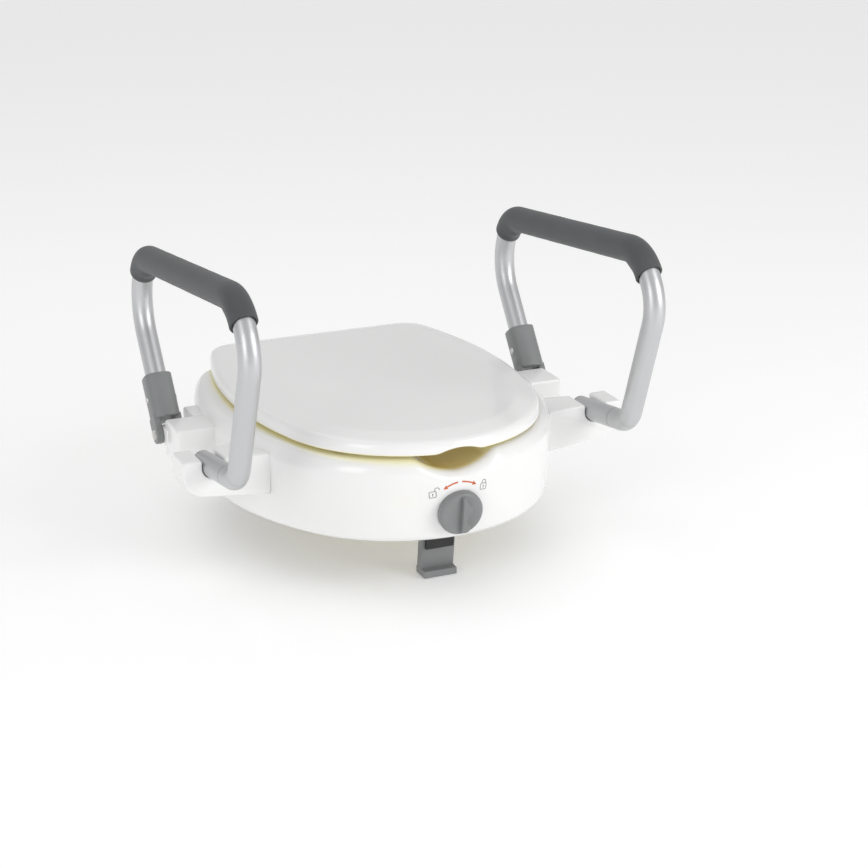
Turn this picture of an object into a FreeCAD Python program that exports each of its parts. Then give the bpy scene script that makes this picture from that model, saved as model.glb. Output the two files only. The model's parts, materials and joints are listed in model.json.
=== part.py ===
"""Raised toilet seat with a lid, two swing-up armrests, a front screw clamp and two rear hooks.

Frame: origin on the surface that the hooks and the clamp jaw stand on, in the middle of the outer box.
+Z is up, -Y is the front with the clamp knob, +X is the sitter's left. Millimetres.
"""
import FreeCAD, Part
import Sketcher
import math, os, re

V = FreeCAD.Vector

# ---------------------------------------------------------------------------------------- sizes
SIZES = [
    ("overall_width", 550, "over the outer walls of the armrest channels"),
    ("overall_depth", 475, "stated depth: front plane of the frame to the back of the lid hinge"),
    ("overall_height", 375, "feet of the hooks to the top of the grips"),
    ("hook_drop", 62, "how far the hooks and the jaw hang below the skirt"),
    ("shell_height", 100, "skirt bottom to the seat surface"),
    ("shell_width", 408, "widest part of the shell at the seat"),
    ("skirt_width", 404, "widest part of the shell at the skirt bottom"),
    ("shell_front_radius", 178, "plan radius of the shell's front"),
    ("shell_corner_radius", 55, "plan radius of the shell's rear corners"),
    ("widest_to_rear", 173.5, "shell's widest line to its rear wall"),
    ("wall_lean", 7.5, "degrees that the front wall leans forward"),
    ("shell_wall", 5, "thickness of the skirt"),
    ("deck_wall", 8, "thickness of the seat surface"),
    ("skirt_round", 10, "rounding of the skirt's bottom edge"),
    ("shoulder_width", 18, "rounding of the seat's outer edge, across"),
    ("shoulder_height", 22, "rounding of the seat's outer edge, down"),
    ("opening_width", 208, "width of the seat opening"),
    ("opening_front", 141.2, "centre of the frame to the front of the opening"),
    ("opening_rear", 118.8, "centre of the frame to the rear of the opening"),
    ("opening_front_radius", 85, "plan radius of the opening's front"),
    ("opening_corner_radius", 80, "plan radius of the opening's rear corners"),
    ("chute_wall", 5, "thickness of the wall round the opening"),
    ("chute_depth", 34, "height of the wall round the opening"),
    ("notch_width", 94, "width of the front notch at the seat surface"),
    ("notch_depth", 22, "depth of the front notch"),
    ("rib_wall", 4, "thickness of the ribs under the seat"),
    ("pad_thickness", 5, "anti-slip pads that rest on the bowl"),
    ("lid_width", 348, "widest part of the lid"),
    ("lid_front_gap", 9, "how far the lid's front edge stands behind the shell's"),
    ("lid_front_radius", 160, "plan radius of the lid's front"),
    ("lid_corner_radius", 37, "plan radius of the lid's rear corners"),
    ("lid_wall", 3, "thickness of the lid"),
    ("lid_gap", 4, "seat surface to the lid's rim"),
    ("lid_rim", 9, "height of the lid's upright rim"),
    ("lid_crown", 20, "height of the lid from its rim to its flat middle"),
    ("hinge_pin_radius", 3, "lid hinge pins"),
    ("hinge_knuckle_radius", 7, "round of the lid hinge"),
    ("hinge_height", 6, "seat surface to the lid hinge axis"),
    ("hinge_spacing", 160, "distance between the two hinge towers"),
    ("hinge_tower_width", 24, "width of one hinge tower"),
    ("hinge_knuckle_width", 10, "width of one lid knuckle"),
    ("side_gap", 0.4, "sideways clearance in the hinges and guides"),
    ("running_gap", 0.05, "radial clearance of a pin that turns in a bore"),
    ("tube_radius", 12.5, "armrest tube, outside"),
    ("tube_wall", 1.5, "wall of the armrest tube"),
    ("grip_radius", 16, "foam grip, outside"),
    ("corner_rise", 2.9, "top of the tube's bends to the front top corner of its line"),
    ("corner_reach", 6.3, "front plane to the foremost corner of the tube's line, less the tube's radius"),
    ("grip_start", 166, "tube length from the sleeve socket to the grip"),
    ("grip_length", 388, "length of the grip along the tube"),
    ("channel_wall", 22, "outer wall of an armrest channel"),
    ("channel_gap", 0.5, "clearance of the tube in its channel"),
    ("channel_length", 42, "front to back"),
    ("channel_height", 43.4, "bottom to top of a channel block"),
    ("channel_y", -79.2, "front face of the channel blocks"),
    ("bracket_top", 87.4, "skirt bottom to the top of the side brackets"),
    ("channel_round", 26, "lower outer edge of a channel block"),
    ("block_y", 25.8, "front face of the pivot blocks"),
    ("block_length", 51, "front to back of a pivot block"),
    ("housing_gap", 9, "pivot housing to the sleeve beside it"),
    ("housing_length", 76, "front to back of a pivot housing"),
    ("bracket_root", 30, "how far the brackets start inside the shell's widest line"),
    ("pivot_y", 88.7, "armrest pivot, front to back"),
    ("pivot_height", 64.7, "skirt bottom to the armrest pivot"),
    ("pivot_pin_radius", 4, "armrest pivot pin"),
    ("pivot_lug_width", 17, "lug between the fork's legs"),
    ("pivot_round", 11, "round of the lug and of the fork's legs"),
    ("sleeve_lean", 36, "degrees that the sleeve leans back from upright"),
    ("sleeve_width", 34, "across the sleeve's flat sides"),
    ("sleeve_radius", 17.5, "round of the sleeve's front and back"),
    ("sleeve_bottom", 17, "pivot to the sleeve barrel"),
    ("sleeve_top", 72, "pivot to the sleeve's top"),
    ("socket_floor", 19, "thickness of the sleeve below its socket"),
    ("rivet_radius", 2.5, "rivets that hold the tubes in the sleeves"),
    ("rivet_height", 44, "pivot to the rivet"),
    ("knob_radius", 27.5, "clamp knob"),
    ("knob_set_back", 5.3, "front plane to the foremost point of the knob"),
    ("knob_height", 36.4, "skirt bottom to the knob's centre"),
    ("knob_thickness", 12, "disc of the knob"),
    ("knob_gap", 0.6, "knob to the wall"),
    ("ridge_reach", 18.5, "wall to the top of the knob's ridge"),
    ("ridge_half", 22, "half length of the knob's ridge"),
    ("ridge_width", 9, "thickness of the knob's ridge"),
    ("spindle_radius", 5, "clamp spindle"),
    ("spindle_length", 84, "wall face to the spindle's end"),
    ("bush_wall", 2, "wall of the spindle bush"),
    ("jaw_width", 40, "clamp jaw"),
    ("jaw_thickness", 12, "clamp jaw along the spindle"),
    ("jaw_place", 46, "wall face to the jaw at rest"),
    ("guide_wall", 4, "walls of the clamp guide"),
    ("guide_top", 16, "knob's axis to the top of the clamp guide"),
    ("guide_start", 16, "wall face to the front of the clamp guide"),
    ("toe_length", 12, "length of the toes on the jaw and the hooks"),
    ("toe_height", 8, "height of the toes"),
    ("hook_spacing", 180, "distance between the two rear hooks"),
    ("hook_width", 34, "width of a rear hook"),
    ("hook_wall", 6, "thickness of a rear hook"),
    ("hook_y", 142, "front face of the rear hooks' uprights"),
    ("hook_top_gap", 36, "seat surface to the top of the hooks"),
    ("screw_radius", 2, "small screws"),
]

# Places worked out from the sizes.
PLACES = {
    "skirt_z": "hook_drop",
    "seat_z": "hook_drop + shell_height",
    "half_depth": "overall_depth / 2",
    "half_width": "overall_width / 2",
    "knob_y": "-half_depth + knob_set_back + ridge_reach * cos(wall_lean) + ridge_half * sin(wall_lean)",
    "knob_z": "skirt_z + knob_height",
    "skirt_front": "knob_y + knob_height * tan(wall_lean)",
    "shell_front": "skirt_front - shell_height * tan(wall_lean)",
    "hinge_y": "half_depth - hinge_knuckle_radius",
    "hinge_z": "seat_z + hinge_height",
    "shell_rear": "hinge_y - hinge_knuckle_radius - 1.5",
    "widest_y": "shell_rear - widest_to_rear",
    "lid_front": "shell_front + lid_front_gap",
    "lid_rear": "hinge_y + hinge_knuckle_radius - 0.5",
    "lid_z": "seat_z + lid_gap",
    "notch_radius": "((notch_width / 2) ^ 2 + notch_depth ^ 2) / (2 * notch_depth)",
    "notch_z": "seat_z - notch_depth + notch_radius",
    "slot_radius": "tube_radius + channel_gap",
    "channel_top": "skirt_z + bracket_top",
    "channel_bottom": "channel_top - channel_height",
    "tube_x": "half_width - channel_wall - slot_radius",
    "pivot_z": "skirt_z + pivot_height",
    "leg_wall": "(sleeve_width - pivot_lug_width) / 2 - side_gap",
    "hook_top": "seat_z - hook_top_gap",
    "hook_screw_y": "hook_y + hook_wall + 12",
    "top_corner_z": "overall_height - grip_radius + corner_rise",
    "front_corner_y": "-half_depth + tube_radius + corner_reach",
    "jaw_low": "-(skirt_z + knob_height) / cos(wall_lean) - 12",
}

# The tube's line from the sleeve to the open front end, as (front to back, height), and its bends.
TUBE_POINTS = [("pivot_y + sleeve_bottom * sin(sleeve_lean)", "pivot_z + sleeve_bottom * cos(sleeve_lean)"),
               ("pivot_y + 166.5 * sin(sleeve_lean)", "pivot_z + 166.5 * cos(sleeve_lean)"),
               ("pivot_y + 66.3", "top_corner_z - 36.6"),
               ("front_corner_y + 36.8", "top_corner_z"),
               ("front_corner_y", "top_corner_z - 53.4"),
               ("front_corner_y + 56.4", "pivot_z + 25.3"),
               ("channel_y + channel_length - 6.2", "pivot_z + 8.8")]
BEND_RADII = [68, 40, 49, 53, 30]
BAR_FRONT, BAR_REAR = TUBE_POINTS[5], TUBE_POINTS[6]

# The lid's outside from its rim to its flat middle, as (inset, height).
LID_PROFILE = [(0.8, 0), (0, 2), (0.6, "lid_rim"), (3, "lid_rim + 4"), (8, "lid_crown - 4.2"),
               (15, "lid_crown - 2.2"), (23, "lid_crown - 0.9"), (32, "lid_crown")]
BUMPERS = [("-110", "-131"), ("110", "-131"), ("-125", "148"), ("125", "148")]

CLAMP_SCREWS = [("-15", "24"), ("15", "24"), ("-15", "74"), ("15", "74")]
CROSS_RIBS = [("-82", "128"), ("18", "152"), ("110", "146")]  # rib, and the rim pads under it
SIDES = (("left", "-"), ("right", ""))

doc = FreeCAD.newDocument("raised_toilet_seat")
sheet = doc.addObject("Spreadsheet::Sheet", "Sizes")
for row, (alias, value, note) in enumerate(SIZES, 1):
    sheet.set(f"A{row}", alias.replace("_", " "))
    sheet.set(f"B{row}", str(value))
    sheet.setAlias(f"B{row}", alias)
    sheet.set(f"C{row}", note)
doc.recompute()

ALIASES = {alias for alias, value, note in SIZES}
nodes = []


def full(text):
    """Writes a formula of size and place names out as a FreeCAD expression."""
    def word(match):
        name = match.group(0)
        if name in PLACES:
            return "(" + full(PLACES[name]) + ")"
        return "Sizes." + name if name in ALIASES else name
    return re.sub(r"[a-z_]+", word, str(text))


def num(text):
    """The value of a formula of size and place names."""
    result = sheet.evalExpression(full(text))
    return float(getattr(result, "Value", result))


# ---------------------------------------------------------------------------------------- helpers
def bind(obj, **formulas):
    for name, text in formulas.items():
        obj.setExpression(name, full(text))
    return obj


def at(obj, x=0, y=0, z=0, axis=None, angle=0):
    """Places an object by formulas, turned about an axis."""
    if axis:
        obj.Placement = FreeCAD.Placement(V(0, 0, 0), FreeCAD.Rotation(V(*axis), num(angle)))
    for letter, text in zip("xyz", (x, y, z)):
        obj.setExpression("Placement.Base." + letter, full(text))
    return obj


def box(name, low, high):
    """A box between two corners, each a triple of formulas."""
    obj = doc.addObject("Part::Box", name)
    for side, a, b in zip(("Length", "Width", "Height"), low, high):
        obj.setExpression(side, full(f"({b}) - ({a})"))
    return at(obj, *low)


AXES = {"x": ((0, 1, 0), 90), "y": ((1, 0, 0), -90), "z": (None, 0)}


def rod(name, radius, length, start, along="z"):
    """A cylinder from a start point along +X, +Y or +Z."""
    obj = bind(doc.addObject("Part::Cylinder", name), Radius=radius, Height=length)
    axis, angle = AXES[along]
    return at(obj, *start, axis=axis, angle=angle)


def cut(name, base, *tools):
    """Cuts each tool in turn out of the base."""
    for i, tool in enumerate(tools, 1):
        obj = doc.addObject("Part::Cut", name if i == len(tools) else f"{name}_{i}")
        obj.Base, obj.Tool = base, tool
        base = obj
    return base


def fuse(name, *pieces):
    obj = doc.addObject("Part::MultiFuse", name)
    obj.Shapes = list(pieces)
    obj.Refine = True
    return obj


def common(name, *pieces):
    obj = doc.addObject("Part::MultiCommon", name)
    obj.Shapes = list(pieces)
    return obj


def solid(name, shape):
    obj = doc.addObject("Part::Feature", name)
    obj.Shape = shape
    return obj


def group(name, *pieces):
    """Separate solids of one kind that share a node."""
    obj = doc.addObject("Part::Compound", name)
    obj.Links = list(pieces)
    return obj


def held(obj):
    """A holder for a primitive, so that a second placement doesn't replace its own."""
    return group(obj.Name + "_held", obj) if obj.TypeId in ("Part::Box", "Part::Cylinder") else obj


def node(name, obj):
    """Marks an object as a sub-part that is written to parts/NAME.step."""
    obj.Label = name
    nodes.append(obj)
    return obj


def body_sketch(name, plane, loops):
    """A PartDesign body with one sketch of closed polygons whose corners are pairs of formulas."""
    body = doc.addObject("PartDesign::Body", name)
    sketch = body.newObject("Sketcher::SketchObject", name + "_sketch")
    face = next(f for f in body.Origin.OriginFeatures if f.Role == plane)
    sketch.AttachmentSupport = [(face, "")]
    sketch.MapMode = "FlatFace"
    for corners in loops:
        points = [V(num(a), num(b), 0) for a, b in corners]
        first = sketch.GeometryCount
        count = len(points)
        for i in range(count):
            sketch.addGeometry(Part.LineSegment(points[i], points[(i + 1) % count]), False)
        for i in range(count):
            sketch.addConstraint(Sketcher.Constraint("Coincident", first + i, 2, first + (i + 1) % count, 1))
        for i, (a, b) in enumerate(corners):
            for kind, text, value in (("DistanceX", a, points[i].x), ("DistanceY", b, points[i].y)):
                if abs(value) < 1e-6:
                    line = -2 if kind == "DistanceX" else -1
                    sketch.addConstraint(Sketcher.Constraint("PointOnObject", first + i, 1, line))
                    continue
                index = sketch.addConstraint(Sketcher.Constraint(kind, -1, 1, first + i, 1, value))
                sketch.setExpression(f"Constraints[{index}]", full(text))
    doc.recompute()
    return body, sketch


def padded(name, plane, length, *loops):
    """A PartDesign pad of closed polygons, as thick as the formula says, centred on its plane."""
    body, sketch = body_sketch(name, plane, loops)
    pad = body.newObject("PartDesign::Pad", name + "_pad")
    pad.Profile = sketch
    pad.Midplane = True
    pad.setExpression("Length", full(length))
    return body


def turned(name, *corners):
    """A PartDesign revolution about Z of a closed polygon of (radius, height) formulas."""
    body, sketch = body_sketch(name, "XZ_Plane", [corners])
    turn = body.newObject("PartDesign::Revolution", name + "_turn")
    turn.Profile = sketch
    turn.ReferenceAxis = (sketch, ["V_Axis"])
    turn.Angle = 360
    return body


def oval(width, front, rear, widest, front_radius, corner_radius, inset, z):
    """A seat outline of tangent arcs: front, two sides and two corners, closed by a straight rear edge.

    The side radius follows from the others: the side arc is tangent to the upright at the widest line
    and to the front arc. An inset makes every arc smaller about the same centre.
    """
    half = width / 2
    rise = widest - front - front_radius
    side = (half ** 2 + rise ** 2 - front_radius ** 2) / (2 * (half - front_radius))
    side_x, corner_y = half - side, rear - corner_radius
    corner_x = side_x + math.sqrt((side - corner_radius) ** 2 - (corner_y - widest) ** 2)
    a_front = math.atan2(-rise, -side_x)
    a_corner = math.atan2(corner_y - widest, corner_x - side_x)

    def right(cx, cy, radius, angle):
        return V(cx + (radius - inset) * math.cos(angle), cy + (radius - inset) * math.sin(angle), z)

    bottom = V(0, front + inset, z)
    join = right(0, front + front_radius, front_radius, a_front)
    side_mid = right(side_x, widest, side, (a_front + a_corner) / 2)
    turn_in = right(corner_x, corner_y, corner_radius, a_corner)
    turn_mid = right(corner_x, corner_y, corner_radius, (a_corner + math.pi / 2) / 2)
    top = right(corner_x, corner_y, corner_radius, math.pi / 2)

    def flip(p):
        return V(-p.x, p.y, p.z)

    return Part.Wire([
        Part.LineSegment(top, flip(top)).toShape(),
        Part.Arc(flip(top), flip(turn_mid), flip(turn_in)).toShape(),
        Part.Arc(flip(turn_in), flip(side_mid), flip(join)).toShape(),
        Part.Arc(flip(join), bottom, join).toShape(),
        Part.Arc(join, side_mid, turn_in).toShape(),
        Part.Arc(turn_in, turn_mid, top).toShape(),
    ])


def quarter(across, up, steps, start=0.0):
    """(inset, rise) pairs along a quarter of an ellipse, from upright to level."""
    angles = [math.radians(90 * i / steps) for i in range(steps + 1)]
    return [(start + across * (1 - math.cos(a)), up * math.sin(a)) for a in angles]


# ---------------------------------------------------------------------------------------- shell
def shell_outline(inset, height):
    """The shell's outline at a height above the skirt bottom: the front leans forward, the sides widen."""
    share = height / num("shell_height")
    width = num("skirt_width") + share * (num("shell_width") - num("skirt_width"))
    front = num("skirt_front") + share * (num("shell_front") - num("skirt_front"))
    return oval(width, front, num("shell_rear"), num("widest_y"), num("shell_front_radius"),
                num("shell_corner_radius"), inset, num("skirt_z") + height)


def opening_outline(grow, z):
    return oval(num("opening_width"), -num("opening_front"), num("opening_rear"), 0,
                num("opening_front_radius"), num("opening_corner_radius"), -grow, z)


def make_shell():
    height, skirt = num("shell_height"), num("skirt_round")
    drop, wall = num("shoulder_height"), num("shell_wall")
    levels = [(inset, skirt - rise) for inset, rise in reversed(quarter(skirt, skirt, 3))]
    levels += [(inset, height - drop + rise) for inset, rise in quarter(num("shoulder_width"), drop, 4)]
    outer = solid("shell_form", Part.makeLoft([shell_outline(*pair) for pair in levels], True, True))

    roof = height - num("deck_wall")
    inner = [(skirt + wall, -2), (skirt + wall, 0), (wall + 1, skirt), (wall + 1, height - drop),
             (wall + 4, roof)]
    hollow = solid("shell_hollow", Part.makeLoft([shell_outline(*pair) for pair in inner], True, True))

    seat, below = num("seat_z"), num("skirt_z")
    chute_low = seat - num("chute_depth")
    wall_out = num("chute_wall")
    chute = solid("chute_form", Part.makeLoft(
        [opening_outline(wall_out, chute_low), opening_outline(wall_out, seat - 1)], True, True))
    flare = [(0, chute_low - 1), (0, seat - 10), (2.5, seat - 4), (8, seat), (8, seat + 5)]
    opening = solid("opening_form", Part.makeLoft([opening_outline(*pair) for pair in flare], True, True))

    notch_start = ("0", "-half_depth - 20", "notch_z")
    notch = rod("notch_form", "notch_radius", "half_depth", notch_start, "y")
    notch_floor = rod("notch_floor", "notch_radius + chute_wall", "half_depth", notch_start, "y")

    ribs = []
    for i, (y, _) in enumerate(CROSS_RIBS):
        ribs.append(box(f"cross_rib_{i}", ("-half_width", f"{y} - rib_wall / 2", "skirt_z + pad_thickness"),
                        ("half_width", f"{y} + rib_wall / 2", "seat_z")))
    for side, sign in SIDES:
        x = f"{sign}hook_spacing / 2"
        ribs.append(box(f"rear_rib_{side}",
                        (f"{x} - rib_wall / 2", "hook_screw_y + 12", "skirt_z + pad_thickness"),
                        (f"{x} + rib_wall / 2", "shell_rear", "seat_z")))
        for j, screw_x in enumerate((f"{x} - 9", f"{x} + 9")):
            ribs.append(rod(f"hook_boss_{side}{j}", "6", "hook_top_gap - 1",
                            (screw_x, "hook_screw_y", "hook_top")))
    opened = solid("opening_core", Part.makeLoft(
        [opening_outline(wall_out, below - 5), opening_outline(wall_out, seat - 1)], True, True))
    ribs_clear = cut("under_seat_clear", fuse("under_seat", *ribs), opened)
    guide_bosses = [rod(f"guide_boss_{i}", "5.5", "40", (x, u, "guide_top"))
                    for i, (x, u) in enumerate(CLAMP_SCREWS)]
    bosses = clamp_frame(fuse("guide_bosses", *guide_bosses))
    carved = cut("hollow_carved", hollow, ribs_clear, chute, notch_floor, bosses)
    bored = cut("shell_bored", cut("shell_shelled", outer, carved), opening, notch)
    sides = [side_bracket(name, sign) for name, sign in SIDES]
    towers = [hinge_tower(name, sign) for name, sign in SIDES]
    whole = fuse("shell_whole", bored, *sides, *towers)

    holes = [clamp_frame(rod("bush_hole", "spindle_radius + bush_wall", "40", ("0", "-15", "0"), "y"))]
    screws = [rod(f"guide_screw_hole_{i}", "screw_radius", "10", (x, u, "guide_top - 1"))
              for i, (x, u) in enumerate(CLAMP_SCREWS)]
    holes.append(clamp_frame(fuse("guide_screw_holes", *screws)))
    for side, sign in SIDES:
        for j, offset in enumerate(("- 9", "+ 9")):
            holes.append(rod(f"hook_screw_hole_{side}{j}", "screw_radius", "15",
                             (f"{sign}hook_spacing / 2 {offset}", "hook_screw_y", "hook_top - 1")))
    return cut("shell_done", whole, *holes)


def clamp_frame(obj):
    """Carries a piece made about the knob's axis (+Y inwards, +Z up the wall) to its place."""
    return at(held(obj), "0", "knob_y", "knob_z", axis=(1, 0, 0), angle="wall_lean")


def side_bracket(name, sign):
    """Armrest channel, pivot block, pivot lug and the housing beside it, on one side of the shell."""
    root = "shell_width / 2 - bracket_root"

    def side(x):
        return f"{sign}({x})"

    def side_box(label, x_in, x_out, y0, y1, z0, z1):
        low, high = (side(x_out), side(x_in)) if sign else (side(x_in), side(x_out))
        return box(f"{label}_{name}", (low, y0, z0), (high, y1, z1))

    def side_rod(label, radius, x_in, x_out, y, z):
        start = side(x_out) if sign else side(x_in)
        return rod(f"{label}_{name}", radius, f"({x_out}) - ({x_in})", (start, y, z), "x")

    end_y = "channel_y + channel_length"
    block = side_box("channel_block", f"{root} + 6", "half_width", "channel_y", end_y,
                     "channel_bottom", "channel_top")
    corner = side_box("channel_corner", "half_width - channel_round", "half_width + 1", "channel_y - 1",
                      f"{end_y} + 1", "channel_bottom - 1", "channel_bottom + channel_round")
    barrel = rod(f"channel_barrel_{name}", "channel_round", "channel_length + 4",
                 (side("half_width - channel_round"), "channel_y - 2", "channel_bottom + channel_round"), "y")
    block = cut(f"channel_rounded_{name}", block, cut(f"channel_corner_cut_{name}", corner, barrel))
    y0, z0 = BAR_REAR
    y1, z1 = BAR_FRONT
    slope = f"atan2({z1} - ({z0}); ({y0}) - ({y1}))"
    groove = rod(f"channel_groove_{name}", "slot_radius", "200", ("0", "0", "0"), "y")
    above = box(f"channel_open_{name}", ("-slot_radius", "0", "0"), ("slot_radius", "200", "60"))
    slot = fuse(f"channel_slot_{name}", groove, above)
    slot = at(slot, side("tube_x"), y1, z1, axis=(1, 0, 0), angle=f"-({slope})")

    pivot_block = side_box("pivot_block", root, "tube_x + 8", "block_y",
                           "block_y + block_length", "channel_bottom", "channel_top - 0.5")
    lug_x = ("tube_x - pivot_lug_width / 2", "tube_x + pivot_lug_width / 2")
    lug = side_box("pivot_lug", *lug_x, "block_y + block_length - 6", "pivot_y", "pivot_z - pivot_round",
                   "pivot_z + pivot_round")
    nose = side_rod("pivot_nose", "pivot_round", *lug_x, "pivot_y", "pivot_z")
    housing = side_box("pivot_housing", root, "tube_x - sleeve_width / 2 - housing_gap",
                       "pivot_y + 26 - housing_length", "pivot_y + 26", "channel_bottom", "channel_top - 0.5")
    solid_side = fuse(f"bracket_{name}", block, pivot_block, lug, nose, housing)
    hole = side_rod("pivot_hole", "pivot_pin_radius + running_gap", "tube_x - 20", "tube_x + 20",
                    "pivot_y", "pivot_z")
    inside = solid(f"bracket_inside_{name}", Part.makeLoft(
        [shell_outline(num("shell_wall") + 1, num("channel_bottom") - num("skirt_z") - 5),
         shell_outline(num("shell_wall") + 1, num("shell_height") - num("shoulder_height"))], True, True))
    return cut(f"bracket_cut_{name}", solid_side, slot, hole, inside)


def hinge_tower(name, sign):
    """The ear on the shell's rear edge that holds a lid hinge pin."""
    x = f"{sign}hinge_spacing / 2"
    low, high = f"{x} - hinge_tower_width / 2", f"{x} + hinge_tower_width / 2"
    foot = box(f"tower_foot_{name}", (low, "hinge_y - 18", "hinge_z - hinge_knuckle_radius - 9"),
               (high, "hinge_y", "hinge_z"))
    ear = rod(f"tower_ear_{name}", "hinge_knuckle_radius", "hinge_tower_width",
              (low, "hinge_y", "hinge_z"), "x")
    hole = rod(f"tower_hole_{name}", "hinge_pin_radius + running_gap", "hinge_tower_width + 20",
               (f"{low} - 10", "hinge_y", "hinge_z"), "x")
    return cut(f"tower_{name}", fuse(f"tower_solid_{name}", foot, ear), hole)


# ---------------------------------------------------------------------------------------- armrests
def bent_path(points, radii):
    """Straight runs joined by tangent arcs, as a list of edges."""
    edges, start = [], points[0]
    for before, corner, after, radius in zip(points, points[1:], points[2:], radii):
        into, out = (corner - before).normalize(), (after - corner).normalize()
        turn = into.getAngle(out)
        reach = radius * math.tan(turn / 2)
        a, b = corner - into * reach, corner + out * reach
        middle = (out - into).normalize()
        mid = corner + middle * (radius / math.cos(turn / 2) - radius)
        edges += [Part.LineSegment(start, a).toShape(), Part.Arc(a, mid, b).toShape()]
        start = b
    return edges + [Part.LineSegment(start, points[-1]).toShape()]


def stretch(edges, start, length):
    """The part of a path between two distances along it."""
    kept, done = [], 0.0
    for edge in edges:
        low, high = max(start - done, 0.0), min(start + length - done, edge.Length)
        if high - low > 1e-6:
            first, last = edge.getParameterByLength(low), edge.getParameterByLength(high)
            kept.append(edge.Curve.toShape(first, last))
        done += edge.Length
    return kept


def piped(edges, radius):
    path = Part.Wire(edges)
    first = edges[0]
    start, way = first.valueAt(first.FirstParameter), first.tangentAt(first.FirstParameter)
    return path.makePipeShell([Part.Wire(Part.makeCircle(radius, start, way))], True, True)


def tube_path(x):
    points = [V(x, num(y), num(z)) for y, z in TUBE_POINTS]
    foot = points[0]
    points[0] = foot + (points[1] - foot).normalize() * (num("socket_floor") + 0.3)
    return bent_path(points, BEND_RADII)


def make_armrest(name, sign):
    """Tube, foam grip, pivot sleeve, rivet, pivot pin and end plug of one armrest."""
    x_text = f"{sign}tube_x"
    x = num(x_text)
    edges = tube_path(x)
    outer, bore = num("tube_radius"), num("tube_radius") - num("tube_wall")
    tube = solid(f"tube_form_{name}", piped(edges, outer).cut(piped(edges, bore)))

    grip_run = stretch(edges, num("grip_start"), num("grip_length"))
    grip = piped(grip_run, num("grip_radius")).cut(piped(grip_run, outer))
    node(f"armrest_grip_{name}", solid(f"grip_{name}", grip))

    def sleeve_frame(obj):
        return at(held(obj), x_text, "pivot_y", "pivot_z", axis=(1, 0, 0), angle="-sleeve_lean")

    long_bore = ("rivet_radius", "sleeve_width + 10", ("-sleeve_width / 2 - 5", "0", "rivet_height"), "x")
    rivet_hole = sleeve_frame(rod(f"tube_rivet_hole_{name}", *long_bore))
    node(f"armrest_tube_{name}", cut(f"tube_{name}", tube, rivet_hole))

    barrel = common(f"sleeve_barrel_{name}",
                    rod(f"sleeve_round_{name}", "sleeve_radius", "sleeve_top - sleeve_bottom",
                        ("0", "0", "sleeve_bottom")),
                    box(f"sleeve_flats_{name}", ("-sleeve_width / 2", "-sleeve_radius", "sleeve_bottom"),
                        ("sleeve_width / 2", "sleeve_radius", "sleeve_top")))
    legs = []
    for i, (x0, x1) in enumerate((("-sleeve_width / 2", "-sleeve_width / 2 + leg_wall"),
                                  ("sleeve_width / 2 - leg_wall", "sleeve_width / 2"))):
        legs.append(box(f"fork_leg_{name}_{i}", (x0, "-pivot_round", "0"),
                        (x1, "pivot_round", "sleeve_bottom + 1")))
        legs.append(rod(f"fork_end_{name}_{i}", "pivot_round", "leg_wall", (x0, "0", "0"), "x"))
    socket = rod(f"sleeve_socket_{name}", "tube_radius", "60", ("0", "0", "sleeve_bottom + socket_floor"))
    rivet_bore = rod(f"sleeve_rivet_hole_{name}", *long_bore)
    pin_bore = rod(f"fork_bore_{name}", "pivot_pin_radius", "60", ("-30", "0", "0"), "x")
    sleeve = cut(f"sleeve_{name}", fuse(f"sleeve_solid_{name}", barrel, *legs), socket, rivet_bore, pin_bore)
    node(f"pivot_sleeve_{name}", sleeve_frame(sleeve))

    head = "sleeve_width / 2"
    rivet = turned(f"rivet_{name}", ("0", f"-{head} - 1.2"), ("rivet_radius + 1", f"-{head} - 1.2"),
                   ("rivet_radius + 1.8", f"-{head}"), ("rivet_radius", f"-{head}"),
                   ("rivet_radius", head), ("rivet_radius + 1.8", head),
                   ("rivet_radius + 1", f"{head} + 1.2"), ("0", f"{head} + 1.2"))
    spot = V(x, num("pivot_y + rivet_height * sin(sleeve_lean)"),
             num("pivot_z + rivet_height * cos(sleeve_lean)"))
    lean, across = FreeCAD.Rotation(V(1, 0, 0), -num("sleeve_lean")), FreeCAD.Rotation(V(0, 1, 0), 90)
    rivet.Placement = FreeCAD.Placement(spot, lean * across)
    node(f"sleeve_rivet_{name}", rivet)

    pin = turned(f"pin_{name}", ("0", f"-{head}"), ("pivot_pin_radius", f"-{head}"),
                 ("pivot_pin_radius", head), ("pivot_pin_radius + 2.5", head),
                 ("pivot_pin_radius + 2", f"{head} + 1.6"), ("0", f"{head} + 1.6"))
    outwards = FreeCAD.Rotation(V(0, 1, 0), -90 if sign else 90)
    pin.Placement = FreeCAD.Placement(V(x, num("pivot_y"), num("pivot_z")), outwards)
    node(f"pivot_pin_{name}", pin)

    plug = turned(f"plug_{name}", ("0", "-14"), ("tube_radius - tube_wall", "-14"),
                  ("tube_radius - tube_wall", "0"), ("tube_radius", "0"), ("tube_radius", "2"),
                  ("tube_radius - 1.5", "3.2"), ("0", "3.2"))
    last = edges[-1]
    end, way = last.valueAt(last.LastParameter), last.tangentAt(last.LastParameter)
    plug.Placement = FreeCAD.Placement(end, FreeCAD.Rotation(V(0, 0, 1), way))
    node(f"tube_end_plug_{name}", plug)


# ---------------------------------------------------------------------------------------- lid
def lid_outline(inset, height):
    return oval(num("lid_width"), num("lid_front"), num("lid_rear"), num("widest_y") - 2,
                num("lid_front_radius"), num("lid_corner_radius"), inset, num("lid_z") + height)


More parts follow.
